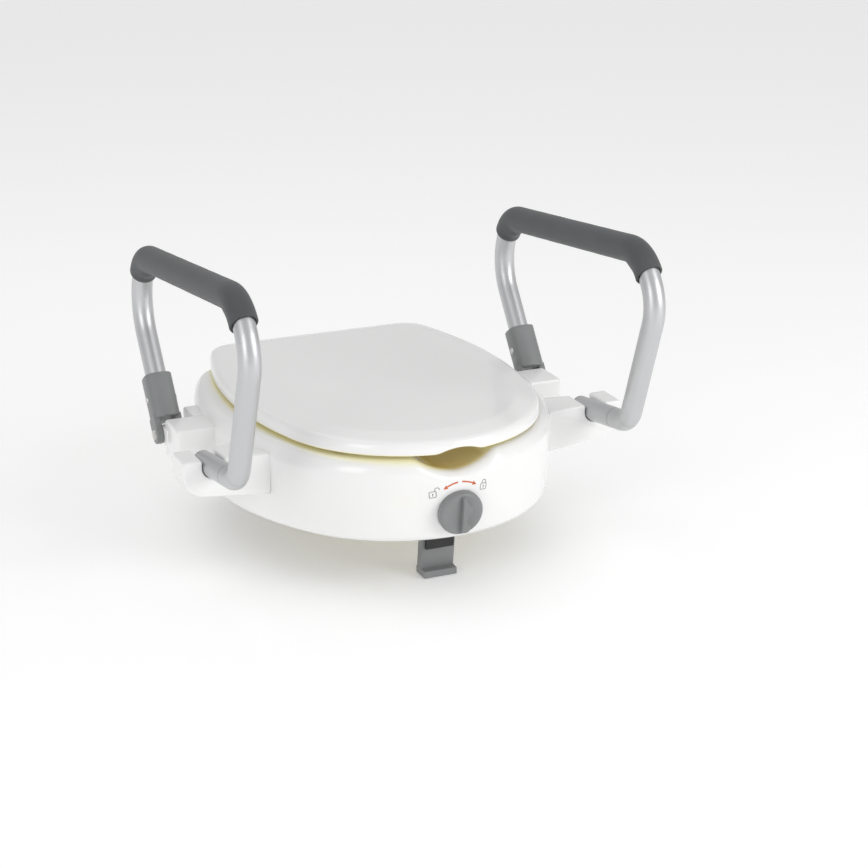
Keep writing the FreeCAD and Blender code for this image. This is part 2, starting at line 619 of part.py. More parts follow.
def make_lid():
    wall = num("lid_wall")
    levels = [(inset, num(height)) for inset, height in LID_PROFILE]
    outer = solid("lid_form", Part.makeLoft([lid_outline(*pair) for pair in levels], True, True))
    under = [(levels[0][0] + wall, -1)] + [(inset + wall, h - wall) for inset, h in levels[2:]]
    hollow = solid("lid_hollow", Part.makeLoft([lid_outline(*pair) for pair in under], True, True))
    rear = box("lid_rear_gap", ("-hinge_spacing / 2 - 40", "hinge_y - 10", "lid_z - 5"),
               ("hinge_spacing / 2 + 40", "hinge_y + 10", "hinge_z + hinge_knuckle_radius + 2.5"))
    finger = rod("finger_cut", "60", "40", ("0", "lid_front - 10", "lid_z + 5.5 - 60"), "y")
    panel = cut("lid_shell", outer, hollow, rear, finger)
    knuckles, holes = [], []
    for name, sign in SIDES:
        for j, side in enumerate(("-", "+")):
            near = f"{sign}hinge_spacing / 2 {side} (hinge_tower_width / 2 + side_gap)"
            far = f"{near} {side} hinge_knuckle_width"
            low, high = (far, near) if side == "-" else (near, far)
            knuckles.append(rod(f"knuckle_{name}{j}", "hinge_knuckle_radius", "hinge_knuckle_width",
                                (low, "hinge_y", "hinge_z"), "x"))
            knuckles.append(box(f"knuckle_web_{name}{j}", (low, "hinge_y - 12", "hinge_z"),
                                (high, "hinge_y", "hinge_z + hinge_knuckle_radius + 2.6")))
        holes.append(rod(f"knuckle_hole_{name}", "hinge_pin_radius", "60",
                         (f"{sign}hinge_spacing / 2 - 30", "hinge_y", "hinge_z"), "x"))
    bosses = [rod(f"bumper_boss_{i}", "8", "lid_crown - 9", (x, y, "seat_z + 10"))
              for i, (x, y) in enumerate(BUMPERS)]
    node("lid", cut("lid_done", fuse("lid_whole", panel, *knuckles, *bosses), *holes))
    bumpers = [rod(f"bumper_{i}", "6", "10", (x, y, "seat_z")) for i, (x, y) in enumerate(BUMPERS)]
    node("lid_bumpers", group("lid_bumper_set", *bumpers))
    half = "hinge_tower_width / 2 + side_gap + hinge_knuckle_width"
    for name, sign in (("left", -1), ("right", 1)):
        pin = turned(f"hinge_pin_{name}", ("0", f"-({half})"), ("hinge_pin_radius", f"-({half})"),
                     ("hinge_pin_radius", half), ("hinge_pin_radius + 1.8", half),
                     ("hinge_pin_radius + 1.3", f"{half} + 1.4"), ("0", f"{half} + 1.4"))
        pin.Placement = FreeCAD.Placement(V(sign * num("hinge_spacing") / 2, num("hinge_y"), num("hinge_z")),
                                          FreeCAD.Rotation(V(0, 1, 0), 90 * sign))
        node(f"lid_hinge_pin_{name}", pin)


# ---------------------------------------------------------------------------------------- clamp
def make_clamp():
    """Knob, spindle, bush, clip, guide, jaw, nut and pad, all about the knob's axis."""
    disc = turned("knob_disc", ("0", "knob_gap"), ("knob_radius - 1.5", "knob_gap"),
                  ("knob_radius", "knob_gap + 1.5"), ("knob_radius - 1", "knob_thickness - 3"),
                  ("knob_radius - 3.5", "knob_thickness"), ("0", "knob_thickness"))
    disc.Placement = FreeCAD.Placement(V(0, 0, 0), FreeCAD.Rotation(V(1, 0, 0), 90))
    ridge = padded("knob_ridge", "YZ_Plane", "ridge_width", [
        ("-knob_thickness + 2", "-ridge_half - 2"), ("-ridge_reach + 2", "-ridge_half"),
        ("-ridge_reach", "-ridge_half + 3"), ("-ridge_reach", "ridge_half"),
        ("-knob_thickness + 2", "ridge_half + 2")])
    hub = rod("knob_hub", "spindle_radius + bush_wall - 0.05", "2.6", ("0", "-2", "0"), "y")
    bore = rod("knob_bore", "spindle_radius", "30", ("0", "-knob_thickness + 3", "0"), "y")
    node("front_knob", clamp_frame(cut("knob_whole", fuse("knob_solid", disc, ridge, hub), bore)))

    spindle = rod("spindle_shank", "spindle_radius", "spindle_length + knob_thickness - 3",
                  ("0", "-knob_thickness + 3", "0"), "y")
    groove = cut("clip_groove", rod("clip_groove_out", "spindle_radius + 1", "1.4", ("0", "12", "0"), "y"),
                 rod("clip_groove_in", "spindle_radius - 0.8", "1.4", ("0", "12", "0"), "y"))
    node("clamp_spindle", clamp_frame(cut("spindle_whole", spindle, groove)))
    clip = cut("clip_ring", rod("clip_out", "spindle_radius + 3.5", "1.2", ("0", "12.1", "0"), "y"),
               rod("clip_in", "spindle_radius - 0.8", "1.2", ("0", "12.1", "0"), "y"),
               box("clip_gap", ("-3", "11", "-spindle_radius - 5"), ("3", "14", "0")))
    node("spindle_clip", clamp_frame(clip))
    barrel = rod("bush_barrel", "spindle_radius + bush_wall", "10", ("0", "1.5", "0"), "y")
    flange = rod("bush_flange", "spindle_radius + bush_wall + 4", "2", ("0", "9.7", "0"), "y")
    bush = cut("bush_ring", fuse("bush_solid", barrel, flange),
               rod("bush_bore", "spindle_radius + running_gap", "20", ("0", "0", "0"), "y"))
    node("spindle_bush", clamp_frame(bush))

    side = "jaw_width / 2 + side_gap"
    plate = box("guide_plate", (f"-({side}) - guide_wall", "guide_start", "guide_top - guide_wall"),
                (f"{side} + guide_wall", "spindle_length", "guide_top"))
    rails = [box(f"guide_rail_{i}", (low, "guide_start", "-10"), (high, "spindle_length", "guide_top"))
             for i, (low, high) in enumerate(((f"-({side}) - guide_wall", f"-({side})"),
                                              (side, f"{side} + guide_wall")))]
    screw_bores = [rod(f"guide_bore_{i}", "screw_radius", "30", (x, u, "0"))
                   for i, (x, u) in enumerate(CLAMP_SCREWS)]
    node("clamp_guide", clamp_frame(cut("guide_whole", fuse("guide_solid", plate, *rails), *screw_bores)))
    screws = []
    for i, (x, u) in enumerate(CLAMP_SCREWS):
        screws.append(fuse(f"guide_screw_{i}",
                           rod(f"guide_screw_shank_{i}", "screw_radius", "guide_wall + 8",
                               (x, u, "guide_top - guide_wall")),
                           rod(f"guide_screw_head_{i}", "screw_radius + 1.8", "2.2",
                               (x, u, "guide_top - guide_wall - 2.2"))))
    node("guide_screws", clamp_frame(group("guide_screw_set", *screws)))

    back = "jaw_place + jaw_thickness"
    upright = box("jaw_upright", ("-jaw_width / 2", "jaw_place", "jaw_low"),
                  ("jaw_width / 2", back, "guide_top - guide_wall - side_gap"))
    jaw = clamp_frame(cut("jaw_leaning", upright,
                          rod("jaw_bore", "spindle_radius + 0.4", "40", ("0", "jaw_place - 10", "0"), "y"),
                          box("nut_pocket", ("-9", f"{back} - 6", "-9"), ("9", f"{back} + 1", "9")),
                          box("jaw_head_0", ("-jaw_width / 2 - 1", "0", "guide_top - guide_wall - 3"),
                              ("-jaw_width / 2 + 12", "99", "guide_top")),
                          box("jaw_head_1", ("jaw_width / 2 - 12", "0", "guide_top - guide_wall - 3"),
                              ("jaw_width / 2 + 1", "99", "guide_top"))))
    foot_y = "knob_y + jaw_place * cos(wall_lean) - jaw_low * sin(wall_lean)"
    toe = box("jaw_toe", ("-jaw_width / 2", f"{foot_y} - toe_length", "0"),
              ("jaw_width / 2", f"{foot_y} + jaw_thickness", "toe_height"))
    below = box("jaw_below", ("-99", "-half_depth", "-60"), ("99", "half_depth", "0"))
    node("clamp_jaw", cut("jaw_whole", fuse("jaw_solid", jaw, toe), below))
    nut = cut("nut_block", box("nut_box", ("-9", f"{back} - 6", "-9"), ("9", back, "9")),
              rod("nut_bore", "spindle_radius + running_gap", "40", ("0", "jaw_place", "0"), "y"))
    node("clamp_nut", clamp_frame(nut))
    pad = box("jaw_pad_box", ("-jaw_width / 2 + 3", "jaw_place - 4", "-knob_height - 34"),
              ("jaw_width / 2 - 3", "jaw_place", "-knob_height - 4"))
    node("clamp_jaw_pad", clamp_frame(pad))


# ---------------------------------------------------------------------------------------- hooks and pads
def make_hooks():
    screws, pads = [], []
    for name, sign in SIDES:
        x = f"{sign}hook_spacing / 2"
        low, high = f"{x} - hook_width / 2", f"{x} + hook_width / 2"
        back = "hook_y + hook_wall"
        upright = box(f"hook_upright_{name}", (low, "hook_y", "0"), (high, back, "hook_top"))
        flange = box(f"hook_flange_{name}", (low, "hook_y", "hook_top - hook_wall"),
                     (high, f"{back} + 22", "hook_top"))
        toe = box(f"hook_toe_{name}", (low, "hook_y", "0"), (high, f"{back} + toe_length", "toe_height"))
        web = box(f"hook_web_{name}", (f"{x} - 2", "hook_y", "hook_top - 26"),
                  (f"{x} + 2", f"{back} + 14", "hook_top"))
        bores = []
        for j, side in enumerate(("-", "+")):
            spot = (f"{x} {side} 9", "hook_screw_y")
            bores.append(rod(f"hook_bore_{name}{j}", "screw_radius", "20", (*spot, "hook_top - 10")))
            screws.append(fuse(f"hook_screw_{name}{j}",
                               rod(f"hook_screw_shank_{name}{j}", "screw_radius", "hook_wall + 12",
                                   (*spot, "hook_top - hook_wall")),
                               rod(f"hook_screw_head_{name}{j}", "screw_radius + 1.8", "2.2",
                                   (*spot, "hook_top - hook_wall - 2.2"))))
        hook = fuse(f"hook_solid_{name}", upright, flange, toe, web)
        node(f"rear_hook_{name}", cut(f"hook_{name}", hook, *bores))
        pads.append(box(f"hook_pad_{name}", (f"{low} + 3", back, "skirt_z - 36"),
                        (f"{high} - 3", f"{back} + 4", "skirt_z - 4")))
    node("hook_screws", group("hook_screw_set", *screws))
    node("hook_pads", group("hook_pad_set", *pads))

    rests = []
    for i, (y, pad_x) in enumerate(CROSS_RIBS):
        for name, sign in SIDES:
            x = f"{sign}{pad_x}"
            rests.append(box(f"rim_pad_{name}{i}", (f"{x} - 20", f"{y} - 8", "skirt_z"),
                             (f"{x} + 20", f"{y} + 8", "skirt_z + pad_thickness")))
    node("rim_pads", group("rim_pad_set", *rests))


# ---------------------------------------------------------------------------------------- build
node("seat_shell", make_shell())
make_lid()
for side_name, side_sign in SIDES:
    make_armrest(side_name, side_sign)
make_clamp()
make_hooks()

doc.recompute()
for obj in doc.Objects:
    if "Invalid" in obj.State or "Error" in obj.State:
        raise RuntimeError(f"{obj.Label}: {obj.State}")
for obj in nodes:
    if obj.Shape.isNull() or not obj.Shape.isValid() or not obj.Shape.Solids:
        raise RuntimeError(f"{obj.Label}: no valid solid")

os.makedirs("parts", exist_ok=True)
for obj in nodes:
    obj.Shape.exportStep(f"parts/{obj.Label}.step")
whole = Part.makeCompound([obj.Shape for obj in nodes]).BoundBox
print(f"{len(nodes)} nodes; X {whole.XMin:.2f} {whole.XMax:.2f}; Y {whole.YMin:.2f} {whole.YMax:.2f}; "
      f"Z {whole.ZMin:.2f} {whole.ZMax:.2f}")
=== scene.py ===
"""Looks of the raised toilet seat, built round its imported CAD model.

Sizes below are millimetres in the frame of the CAD part; place() turns them into metres.
Shapes are grids of points worked out as whole arrays: rows along one parameter, columns along the other.
"""

import json
import math

import bpy
import numpy as np
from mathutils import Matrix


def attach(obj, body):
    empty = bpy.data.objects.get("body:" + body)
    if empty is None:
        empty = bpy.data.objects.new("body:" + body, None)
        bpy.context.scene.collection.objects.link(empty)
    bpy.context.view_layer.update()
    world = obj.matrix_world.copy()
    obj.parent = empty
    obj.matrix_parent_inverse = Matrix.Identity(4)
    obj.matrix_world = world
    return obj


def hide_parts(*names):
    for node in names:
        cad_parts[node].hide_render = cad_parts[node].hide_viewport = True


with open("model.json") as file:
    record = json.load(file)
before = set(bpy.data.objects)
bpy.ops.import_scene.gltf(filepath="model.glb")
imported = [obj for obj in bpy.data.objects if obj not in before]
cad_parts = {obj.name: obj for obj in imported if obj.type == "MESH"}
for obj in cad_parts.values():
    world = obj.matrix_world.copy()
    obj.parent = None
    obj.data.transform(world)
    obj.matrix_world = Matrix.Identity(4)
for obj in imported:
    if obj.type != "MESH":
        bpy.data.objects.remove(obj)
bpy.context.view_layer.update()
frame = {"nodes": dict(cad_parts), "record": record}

MM = 0.001

# ---------------------------------------------------------------- sizes
SKIRT_Z, SEAT_Z, SHELL_HEIGHT = 62.0, 162.0, 100.0
SHELL_REAR, WIDEST_Y = 222.0, 48.5
SKIRT_FRONT, SHELL_FRONT = -206.2, -219.4
SKIRT_WIDTH, SHELL_WIDTH = 404.0, 408.0
SHELL_FRONT_RADIUS, SHELL_CORNER_RADIUS = 178.0, 55.0
SKIRT_ROUND, SHOULDER_ACROSS, SHOULDER_DOWN = 10.0, 18.0, 22.0
SHOULDER = SHELL_HEIGHT - SHOULDER_DOWN
OPENING = dict(width=208.0, front=-141.2, rear=118.8, widest=0.0, front_radius=85.0, corner_radius=80.0)
LIP_ROUND, LIP_DROP = 8.0, 10.0
CHUTE_DEPTH, CHUTE_WALL, DECK_WALL = 34.0, 5.0, 8.0
NOTCH_DEPTH, NOTCH_RADIUS = 17.0, 73.5
LID = dict(width=348.0, front=-210.4, rear=237.0, widest=46.5, front_radius=160.0, corner_radius=37.0)
LID_Z, REAR_GAP_Z = 166.0, 177.6
HINGE_Y, HINGE_Z, KNUCKLE_RADIUS = 230.5, 168.0, 7.0
PIVOT_Y, PIVOT_Z, TUBE_X = 88.7, 126.7, 240.0
TUBE_RADIUS, TUBE_BORE, GRIP_RADIUS = 12.5, 11.0, 16.0
HALF_WIDTH, BRACKET_LOW, CHANNEL_TOP, BLOCK_TOP = 275.0, 106.0, 149.4, 148.9
CHANNEL_FRONT, CHANNEL_REAR, BLOCK_FRONT, BLOCK_REAR = -79.2, -37.2, 25.8, 76.8
LUG_HALF, LUG_ROUND = 8.5, 11.0
SLEEVE_HALF, SLEEVE_RADIUS, SLEEVE_BOTTOM, SLEEVE_TOP, SOCKET_FLOOR = 17.0, 17.5, 17.0, 72.0, 36.2
TOWERS_X, TOWER_HALF = (-80, 80), 12
LID_BUFFERS = ((-110, -131), (110, -131), (-125, 148), (125, 148))
CROSS_RIBS = ((-82, 88, 165), (18, 110, 196), (110, 48, 190))  # depth, and how far out each starts and ends
HOOKS_X, HOOK_SCREWS_Y, HOOK_SCREW_SHIFT = (-90, 90), 160, 9
RIB_LOW, RIB_TOP, RIB_HALF = 67, 155, 2
RAY_Y = 40.0  # depth of the middle that plan distances are measured from
SLEEVE_LEAN = math.radians(36)
KNOB_Y, KNOB_Z, WALL_LEAN = -211.0, 98.4, math.radians(7.5)


# ---------------------------------------------------------------- meshes
def grid_faces(rows, columns, loop_rows=False):
    """Quads between neighbouring points of a grid whose columns close in a loop, four numbers each."""
    r, c = np.meshgrid(np.arange(rows if loop_rows else rows - 1), np.arange(columns), indexing="ij")
    here, below = r * columns, (r + 1) % rows * columns
    beside = (c + 1) % columns
    return np.stack([here + c, here + beside, below + beside, below + c], -1).reshape(-1, 4)


def capped(rows, columns):
    """Faces of an open grid, with one face over each end."""
    faces = grid_faces(rows, columns).tolist()
    return faces + [list(range(columns))[::-1], [(rows - 1) * columns + i for i in range(columns)]]


def signed_volume(points, faces):
    """Six times the volume inside the faces, from each face's fan; below nought if they point inwards."""
    total = 0.0
    by_length = {}
    for face in faces:
        by_length.setdefault(len(face), []).append(face)
    for length, same in by_length.items():
        corners = points[np.array(same)]
        for k in range(1, length - 1):
            total += np.einsum("ij,ij->", corners[:, 0], np.cross(corners[:, k], corners[:, k + 1]))
    return total


def place(name, points, faces, finish, body, slot, smooth_angle=40, masks=None, replaces=(), uv=None):
    """Makes a piece from points in millimetres and faces, turned outwards, and lets it ride on a CAD body."""
    points = np.asarray(points, float).reshape(-1, 3)
    faces = [list(map(int, f)) for f in faces]
    if signed_volume(points, faces) < 0:
        faces = [f[::-1] for f in faces]
    mesh = bpy.data.meshes.new(name)
    mesh.from_pydata(points * MM, [], faces)
    for mask, values in (masks or {}).items():
        layer = mesh.attributes.new(mask, "FLOAT", "POINT")
        layer.data.foreach_set("value", np.asarray(values, np.float32).ravel())
    if uv is not None:
        layer = mesh.uv_layers.new(name="along")
        loops = np.zeros(len(mesh.loops), np.int32)
        mesh.loops.foreach_get("vertex_index", loops)
        layer.data.foreach_set("uv", np.asarray(uv, np.float32).reshape(-1, 2)[loops].ravel())
    mesh.materials.append(finish)
    mesh.polygons.foreach_set("use_smooth", np.ones(len(mesh.polygons), bool))
    mesh.set_sharp_from_angle(angle=math.radians(smooth_angle))
    mesh.validate()
    piece = bpy.data.objects.new(name, mesh)
    bpy.context.scene.collection.objects.link(piece)
    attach(piece, body)
    if replaces:
        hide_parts(*replaces)
    return piece


def joined(parts):
    """Several (points, faces) shapes as one."""
    points, faces, count = [], [], 0
    for p, f in parts:
        p = np.asarray(p, float).reshape(-1, 3)
        f = [list(map(int, q)) for q in f]
        if signed_volume(p, f) < 0:
            f = [q[::-1] for q in f]
        faces += [[i + count for i in q] for q in f]
        points.append(p)
        count += len(p)
    return np.concatenate(points), faces


def mirrored(shape):
    points, faces = shape
    return np.asarray(points, float).reshape(-1, 3) * (-1, 1, 1), faces


def smooth_step(low, high, value):
    """0 below low, 1 above high, and a smooth cubic between them."""
    t = np.clip((value - low) / (high - low), 0, 1)
    return t * t * (3 - 2 * t)


# ---------------------------------------------------------------- plan outlines
def oval(inset, steps, width, front, rear, widest, front_radius, corner_radius):
    """A closed seat outline of tangent arcs: front, sides and rear corners, with a straight rear edge.

    The side radius is the one whose arc is tangent to the upright at the widest line and to the front arc.
    Each arc is sampled evenly in angle about its centre, and an inset makes every radius smaller.
    """
    half = width / 2
    rise = widest - front - front_radius
    side = (half ** 2 + rise ** 2 - front_radius ** 2) / (2 * (half - front_radius))
    side_x, corner_y = half - side, rear - corner_radius
    corner_x = side_x + math.sqrt((side - corner_radius) ** 2 - (corner_y - widest) ** 2)
    a_front = math.atan2(-rise, -side_x)
    a_corner = math.atan2(corner_y - widest, corner_x - side_x)
    arcs = ((0, front + front_radius, front_radius, -math.pi / 2, a_front, steps[0]),
            (side_x, widest, side, a_front, a_corner, steps[1]),
            (corner_x, corner_y, corner_radius, a_corner, math.pi / 2, steps[2]))
    run = []
    for cx, cy, radius, a0, a1, count in arcs:
        a = np.linspace(a0, a1, count, endpoint=False)
        run.append(np.stack([cx + (radius - inset) * np.cos(a), cy + (radius - inset) * np.sin(a)], -1))
    t = np.linspace(1, 0, steps[3] + 1)
    run.append(np.stack([corner_x * t, np.full_like(t, rear - inset)], -1))
    right = np.concatenate(run)
    left = right[-2:0:-1] * (-1, 1)
    return np.concatenate([right, left])


SHELL_STEPS, COARSE_STEPS = (110, 90, 26, 34), (60, 60, 20, 20)


def shell_outline(inset, steps, height):
    """The shell's outline at a height: its front leans forward and its sides widen towards the top."""
    share = height / SHELL_HEIGHT
    return oval(inset, steps, SKIRT_WIDTH + share * (SHELL_WIDTH - SKIRT_WIDTH),
                SKIRT_FRONT + share * (SHELL_FRONT - SKIRT_FRONT), SHELL_REAR, WIDEST_Y,
                SHELL_FRONT_RADIUS, SHELL_CORNER_RADIUS)


def shell_row(inset, height):
    """The shell's outline at a height above the skirt's bottom, as points in space."""
    flat = shell_outline(inset, SHELL_STEPS, height)
    return np.column_stack([flat, np.full(len(flat), SKIRT_Z + height)])


def opening_row(grow, height):
    flat = oval(-grow, SHELL_STEPS, **OPENING)
    return np.column_stack([flat, np.full(len(flat), SKIRT_Z + height)])


def notch_dip(points):
    """How far the seat's front edge dips: the arc of a cylinder along Y, eased into the seat at both ends."""
    x = np.clip(np.abs(points[..., 0]), 0, NOTCH_RADIUS - 0.01)
    raw = NOTCH_DEPTH - NOTCH_RADIUS + np.sqrt(NOTCH_RADIUS ** 2 - x ** 2)
    ease = 2.2
    dip = ease * np.log1p(np.exp(raw / ease))
    return dip * smooth_step(-20, -60, points[..., 1])


def depth_inside(edge, points):
    """How far inside a plan outline each point lies, measured along the ray from the middle."""
    edge = edge - (0, RAY_Y)
    angle = np.arctan2(edge[:, 0], edge[:, 1])
    order = np.argsort(angle)
    radius = np.hypot(edge[:, 0], edge[:, 1])
    x, y = points[..., 0], points[..., 1] - RAY_Y
    return np.interp(np.arctan2(x, y), angle[order], radius[order], period=2 * math.pi) - np.hypot(x, y)


def wall_share(height):
    """The share of the notch's dip that the wall takes at a height: none at the bottom, all near the top."""
    return smooth_step(SKIRT_ROUND, SHOULDER + 8, height)


def blend_rows(first, last, count):
    """Rows in straight steps between two rows, both ends left out."""
    share = np.linspace(0, 1, count + 2)[1:-1, None, None]
    return list(first * (1 - share) + last * share)


def make_shell():
    """A thin wall carried round the seat: up the outside, over the shoulder, in to the opening and back.

    Every row is an outline at one inset and height. The notch lowers the rows near the front's middle, all of
    the way at the seat's surface and not at all at the skirt's bottom.
    """
    rows, hold = [], []

    def add(row, share):
        rows.append(row)
        hold.append(share)

    for a in np.linspace(0, math.pi / 2, 9):
        add(shell_row(SKIRT_ROUND * (1 - math.sin(a)), SKIRT_ROUND * (1 - math.cos(a))), 0)
    for h in np.linspace(SKIRT_ROUND, SHOULDER, 16)[1:]:
        add(shell_row(0, h), wall_share(h))
    for a in np.linspace(0, math.pi / 2, 19)[1:]:
        h = SHOULDER + SHOULDER_DOWN * math.sin(a)
        add(shell_row(SHOULDER_ACROSS * (1 - math.cos(a)), h), wall_share(h))
    for row in blend_rows(rows[-1], opening_row(LIP_ROUND, SHELL_HEIGHT), 12):
        add(row, 1)
    for a in np.linspace(0, math.pi / 2, 9):
        add(opening_row(LIP_ROUND * (1 - math.sin(a)), SHELL_HEIGHT - LIP_DROP * (1 - math.cos(a))), 1)
    low = SHELL_HEIGHT - CHUTE_DEPTH
    for h in np.linspace(SHELL_HEIGHT - LIP_DROP, low + 1, 5)[1:]:
        add(opening_row(0, h), (h - low) / (CHUTE_DEPTH - LIP_DROP))
    outside_rows = len(rows)
    for grow, h in ((0.7, low), (CHUTE_WALL - 0.7, low), (CHUTE_WALL, low + 1)):
        add(opening_row(grow, h), 0)
    roof = SHELL_HEIGHT - DECK_WALL
    for h in np.linspace(low + 1, roof, 5)[1:]:
        add(opening_row(CHUTE_WALL, h), (h - low) / (roof - low))
    for row in blend_rows(rows[-1], shell_row(9, roof), 8):
        add(row, 1)
    add(shell_row(9, roof), 1)
    for h in np.linspace(SHOULDER, SKIRT_ROUND, 8):
        add(shell_row(6, h), wall_share(h))
    add(shell_row(14.4, 0.8), 0)
    add(shell_row(13.6, 0), 0)

    points = np.array(rows)
    dip = notch_dip(points) * np.array(hold)[:, None]
    points[..., 2] -= dip
    # The first mask is painted bounce light: a cream tint on the seat's top under and just past the lid's
    # edge, standing for light bounced in the narrow gap between lid and seat and coming through the thin
    # plastic.
    inside = depth_inside(oval(0, COARSE_STEPS, **LID), points)
    near_top = smooth_step(SEAT_Z - 60, SEAT_Z - 36, points[..., 2])
    outward = -6 + 12 * smooth_step(0, -60, points[..., 0])
    outside = (np.arange(len(rows)) < outside_rows)[:, None]
    painted_bounce_light = smooth_step(-outward, 4 - outward * 0.4, inside) * near_top * outside
    # The second mask is painted shade: an amber tint on the notch's floor in the lid's shadow, standing also
    # for light coming through the plastic, stronger towards the left where the shade is deeper.
    behind_lip = points[..., 1] - np.interp(np.abs(points[..., 0]), (0, 60), (SHELL_FRONT, SHELL_FRONT + 10))
    notch_shade = smooth_step(8, 22, behind_lip) * smooth_step(2, 9, dip) * near_top * outside
    notch_shade *= 0.6 + 0.4 * smooth_step(35, -30, points[..., 0])
    faces = grid_faces(len(rows), points.shape[1], loop_rows=True)
    return points.reshape(-1, 3), faces, {"painted_bounce_light": painted_bounce_light.ravel(), "notch_shade": notch_shade.ravel()}


# ---------------------------------------------------------------- soft-edged prisms
def rounded_loop(corners, radii, inset, steps=6):
    """A polygon, anticlockwise, with an arc tangent to both sides at each corner, moved inwards by an inset.

    A convex corner's arc loses the inset from its radius and a hollow corner's arc gains it.
    """
    p = np.asarray(corners, float)
    ahead = np.roll(p, -1, 0) - p
    ahead /= np.linalg.norm(ahead, axis=1)[:, None]
    inward = np.stack([-ahead[:, 1], ahead[:, 0]], -1)
    before = np.roll(inward, 1, 0)
    way = np.roll(ahead, 1, 0)
    sign = np.where(way[:, 0] * ahead[:, 1] - way[:, 1] * ahead[:, 0] > 0, 1.0, -1.0)
    reach = (sign * np.asarray(radii, float) / (1 + (before * inward).sum(1)))[:, None]
    centre = p + (before + inward) * reach
    a0 = np.arctan2(-sign * before[:, 1], -sign * before[:, 0])
    turn = np.arctan2(-sign * inward[:, 1], -sign * inward[:, 0]) - a0
    turn = (turn + math.pi) % (2 * math.pi) - math.pi
    angles = a0[:, None] + turn[:, None] * np.linspace(0, 1, steps + 1)
    radius = (np.asarray(radii, float) - sign * inset)[:, None]
    return np.stack([centre[:, :1] + radius * np.cos(angles), centre[:, 1:] + radius * np.sin(angles)],
                    -1).reshape(-1, 2)


def prism(outline, low, high, edge, axis, steps=5, middle=()):
    """A polygon carried along an axis, with quarter-round edges at both ends.

    outline(position) gives (corners, radii); the ends move in by edge * (1 - sin a) as the position moves
    by edge * (1 - cos a).
    """
    a = np.linspace(0, math.pi / 2, steps + 1)
    inset, step = edge * (1 - np.sin(a)), edge * (1 - np.cos(a))
    stations = [(low + s, i) for s, i in zip(step, inset)] + [(m, 0) for m in middle]
    stations += [(high - s, i) for s, i in zip(step[::-1], inset[::-1])]
    rows = []
    for position, in_by in stations:
        corners, radii = outline(position)
        flat = rounded_loop(corners, radii, in_by)
        third = np.full(len(flat), position)
        order = {"x": (third, flat[:, 0], flat[:, 1]), "y": (flat[:, 0], third, flat[:, 1]),
                 "z": (flat[:, 0], flat[:, 1], third)}[axis]
        rows.append(np.stack(order, -1))
    return np.concatenate(rows), capped(len(rows), len(rows[0]))


def soft_box(low, high, edge, axis="z"):
    """A box with all of its edges rounded."""
    i = "xyz".index(axis)
    u, v = [k for k in range(3) if k != i]
    corners = [(low[u], low[v]), (high[u], low[v]), (high[u], high[v]), (low[u], high[v])]
    return prism(lambda position: (corners, [edge] * 4), low[i], high[i], edge, axis)


def wall_x(y, height):
    """How far out the shell's wall is on the right at a depth and a height above the skirt's bottom."""
    wall = shell_outline(0, COARSE_STEPS, height)[:sum(COARSE_STEPS[:3]) + 1]
    return float(np.interp(y, wall[:, 1], wall[:, 0]))


def root_flare(shape, size):
    """Widens a piece towards the shell's wall by the curve of a fillet: size less a quarter circle.

    Only the piece's sides and bottom widen, so that its top stays level.
    """
    points, faces = np.asarray(shape[0], float), shape[1]
    away = -depth_inside(shell_outline(0, COARSE_STEPS, SHELL_HEIGHT), points)
    t = np.clip(away / size, 0, 1)
    grow = size * (1 - np.sqrt(np.clip(1 - (1 - t) ** 2, 0, 1)))
    low, high = points[:, 1:].min(0), points[:, 1:].max(0)
    offset = (points[:, 1:] - (low + high) / 2) / ((high - low) / 2)
    push = np.clip((np.abs(offset) - 0.86) / 0.1, 0, 1) * np.sign(offset)
    push[:, 1] = np.minimum(push[:, 1], 0)
    widened = points.copy()
    widened[:, 1:] += push * grow[:, None]
    return widened, faces


def side_bracket():
    """The right side's armrest channel, pivot block, lug and housing, as soft-edged prisms."""
    edge, slot = 3, TUBE_RADIUS + 0.5
    left, right = TUBE_X - slot, TUBE_X + slot

    def channel(y):
        floor = 127.5 - (y - CHANNEL_FRONT) * 0.1388
        root = wall_x(y, 66) - 3.5
        corners = [(root, BRACKET_LOW), (HALF_WIDTH, BRACKET_LOW), (HALF_WIDTH, CHANNEL_TOP),
                   (right, CHANNEL_TOP), (right, floor), (left, floor), (left, CHANNEL_TOP),
                   (root, CHANNEL_TOP)]
        return corners, [edge, 26, edge, edge, 12.4, 12.4, edge, edge]

    def lug(_):
        inner_y, outer_y = BLOCK_REAR - 10.8, PIVOT_Y + LUG_ROUND
        low, high = PIVOT_Z - LUG_ROUND, PIVOT_Z + LUG_ROUND
        return [(inner_y, low), (outer_y, low), (outer_y, high), (inner_y, high)], [2, 10.8, 10.8, 2]

    stations = np.linspace(CHANNEL_FRONT + 6, CHANNEL_REAR - 6, 6)
    return [root_flare(prism(channel, CHANNEL_FRONT, CHANNEL_REAR, 2.2, "y", middle=stations), 6),
            soft_box((198.5, BLOCK_FRONT, BRACKET_LOW), (TUBE_X + 8, BLOCK_REAR, BLOCK_TOP), 3.2, "y"),
            prism(lug, TUBE_X - LUG_HALF, TUBE_X + LUG_HALF, 1.2, "x"),
            soft_box((191, PIVOT_Y - 50, BRACKET_LOW + 0.4), (TUBE_X - 26, PIVOT_Y + 26, BLOCK_TOP - 0.4),
                     3.2, "y")]


def hinge_tower(x):
    def side(_):
        front, back, low, high = 211, HINGE_Y + KNUCKLE_RADIUS, 151, HINGE_Z + KNUCKLE_RADIUS
        return [(front, low), (back, low), (back, high), (front, high)], [1.5, 1.5, 6.9, 6.9]
    return prism(side, x - TOWER_HALF, x + TOWER_HALF, 1.2, "x")


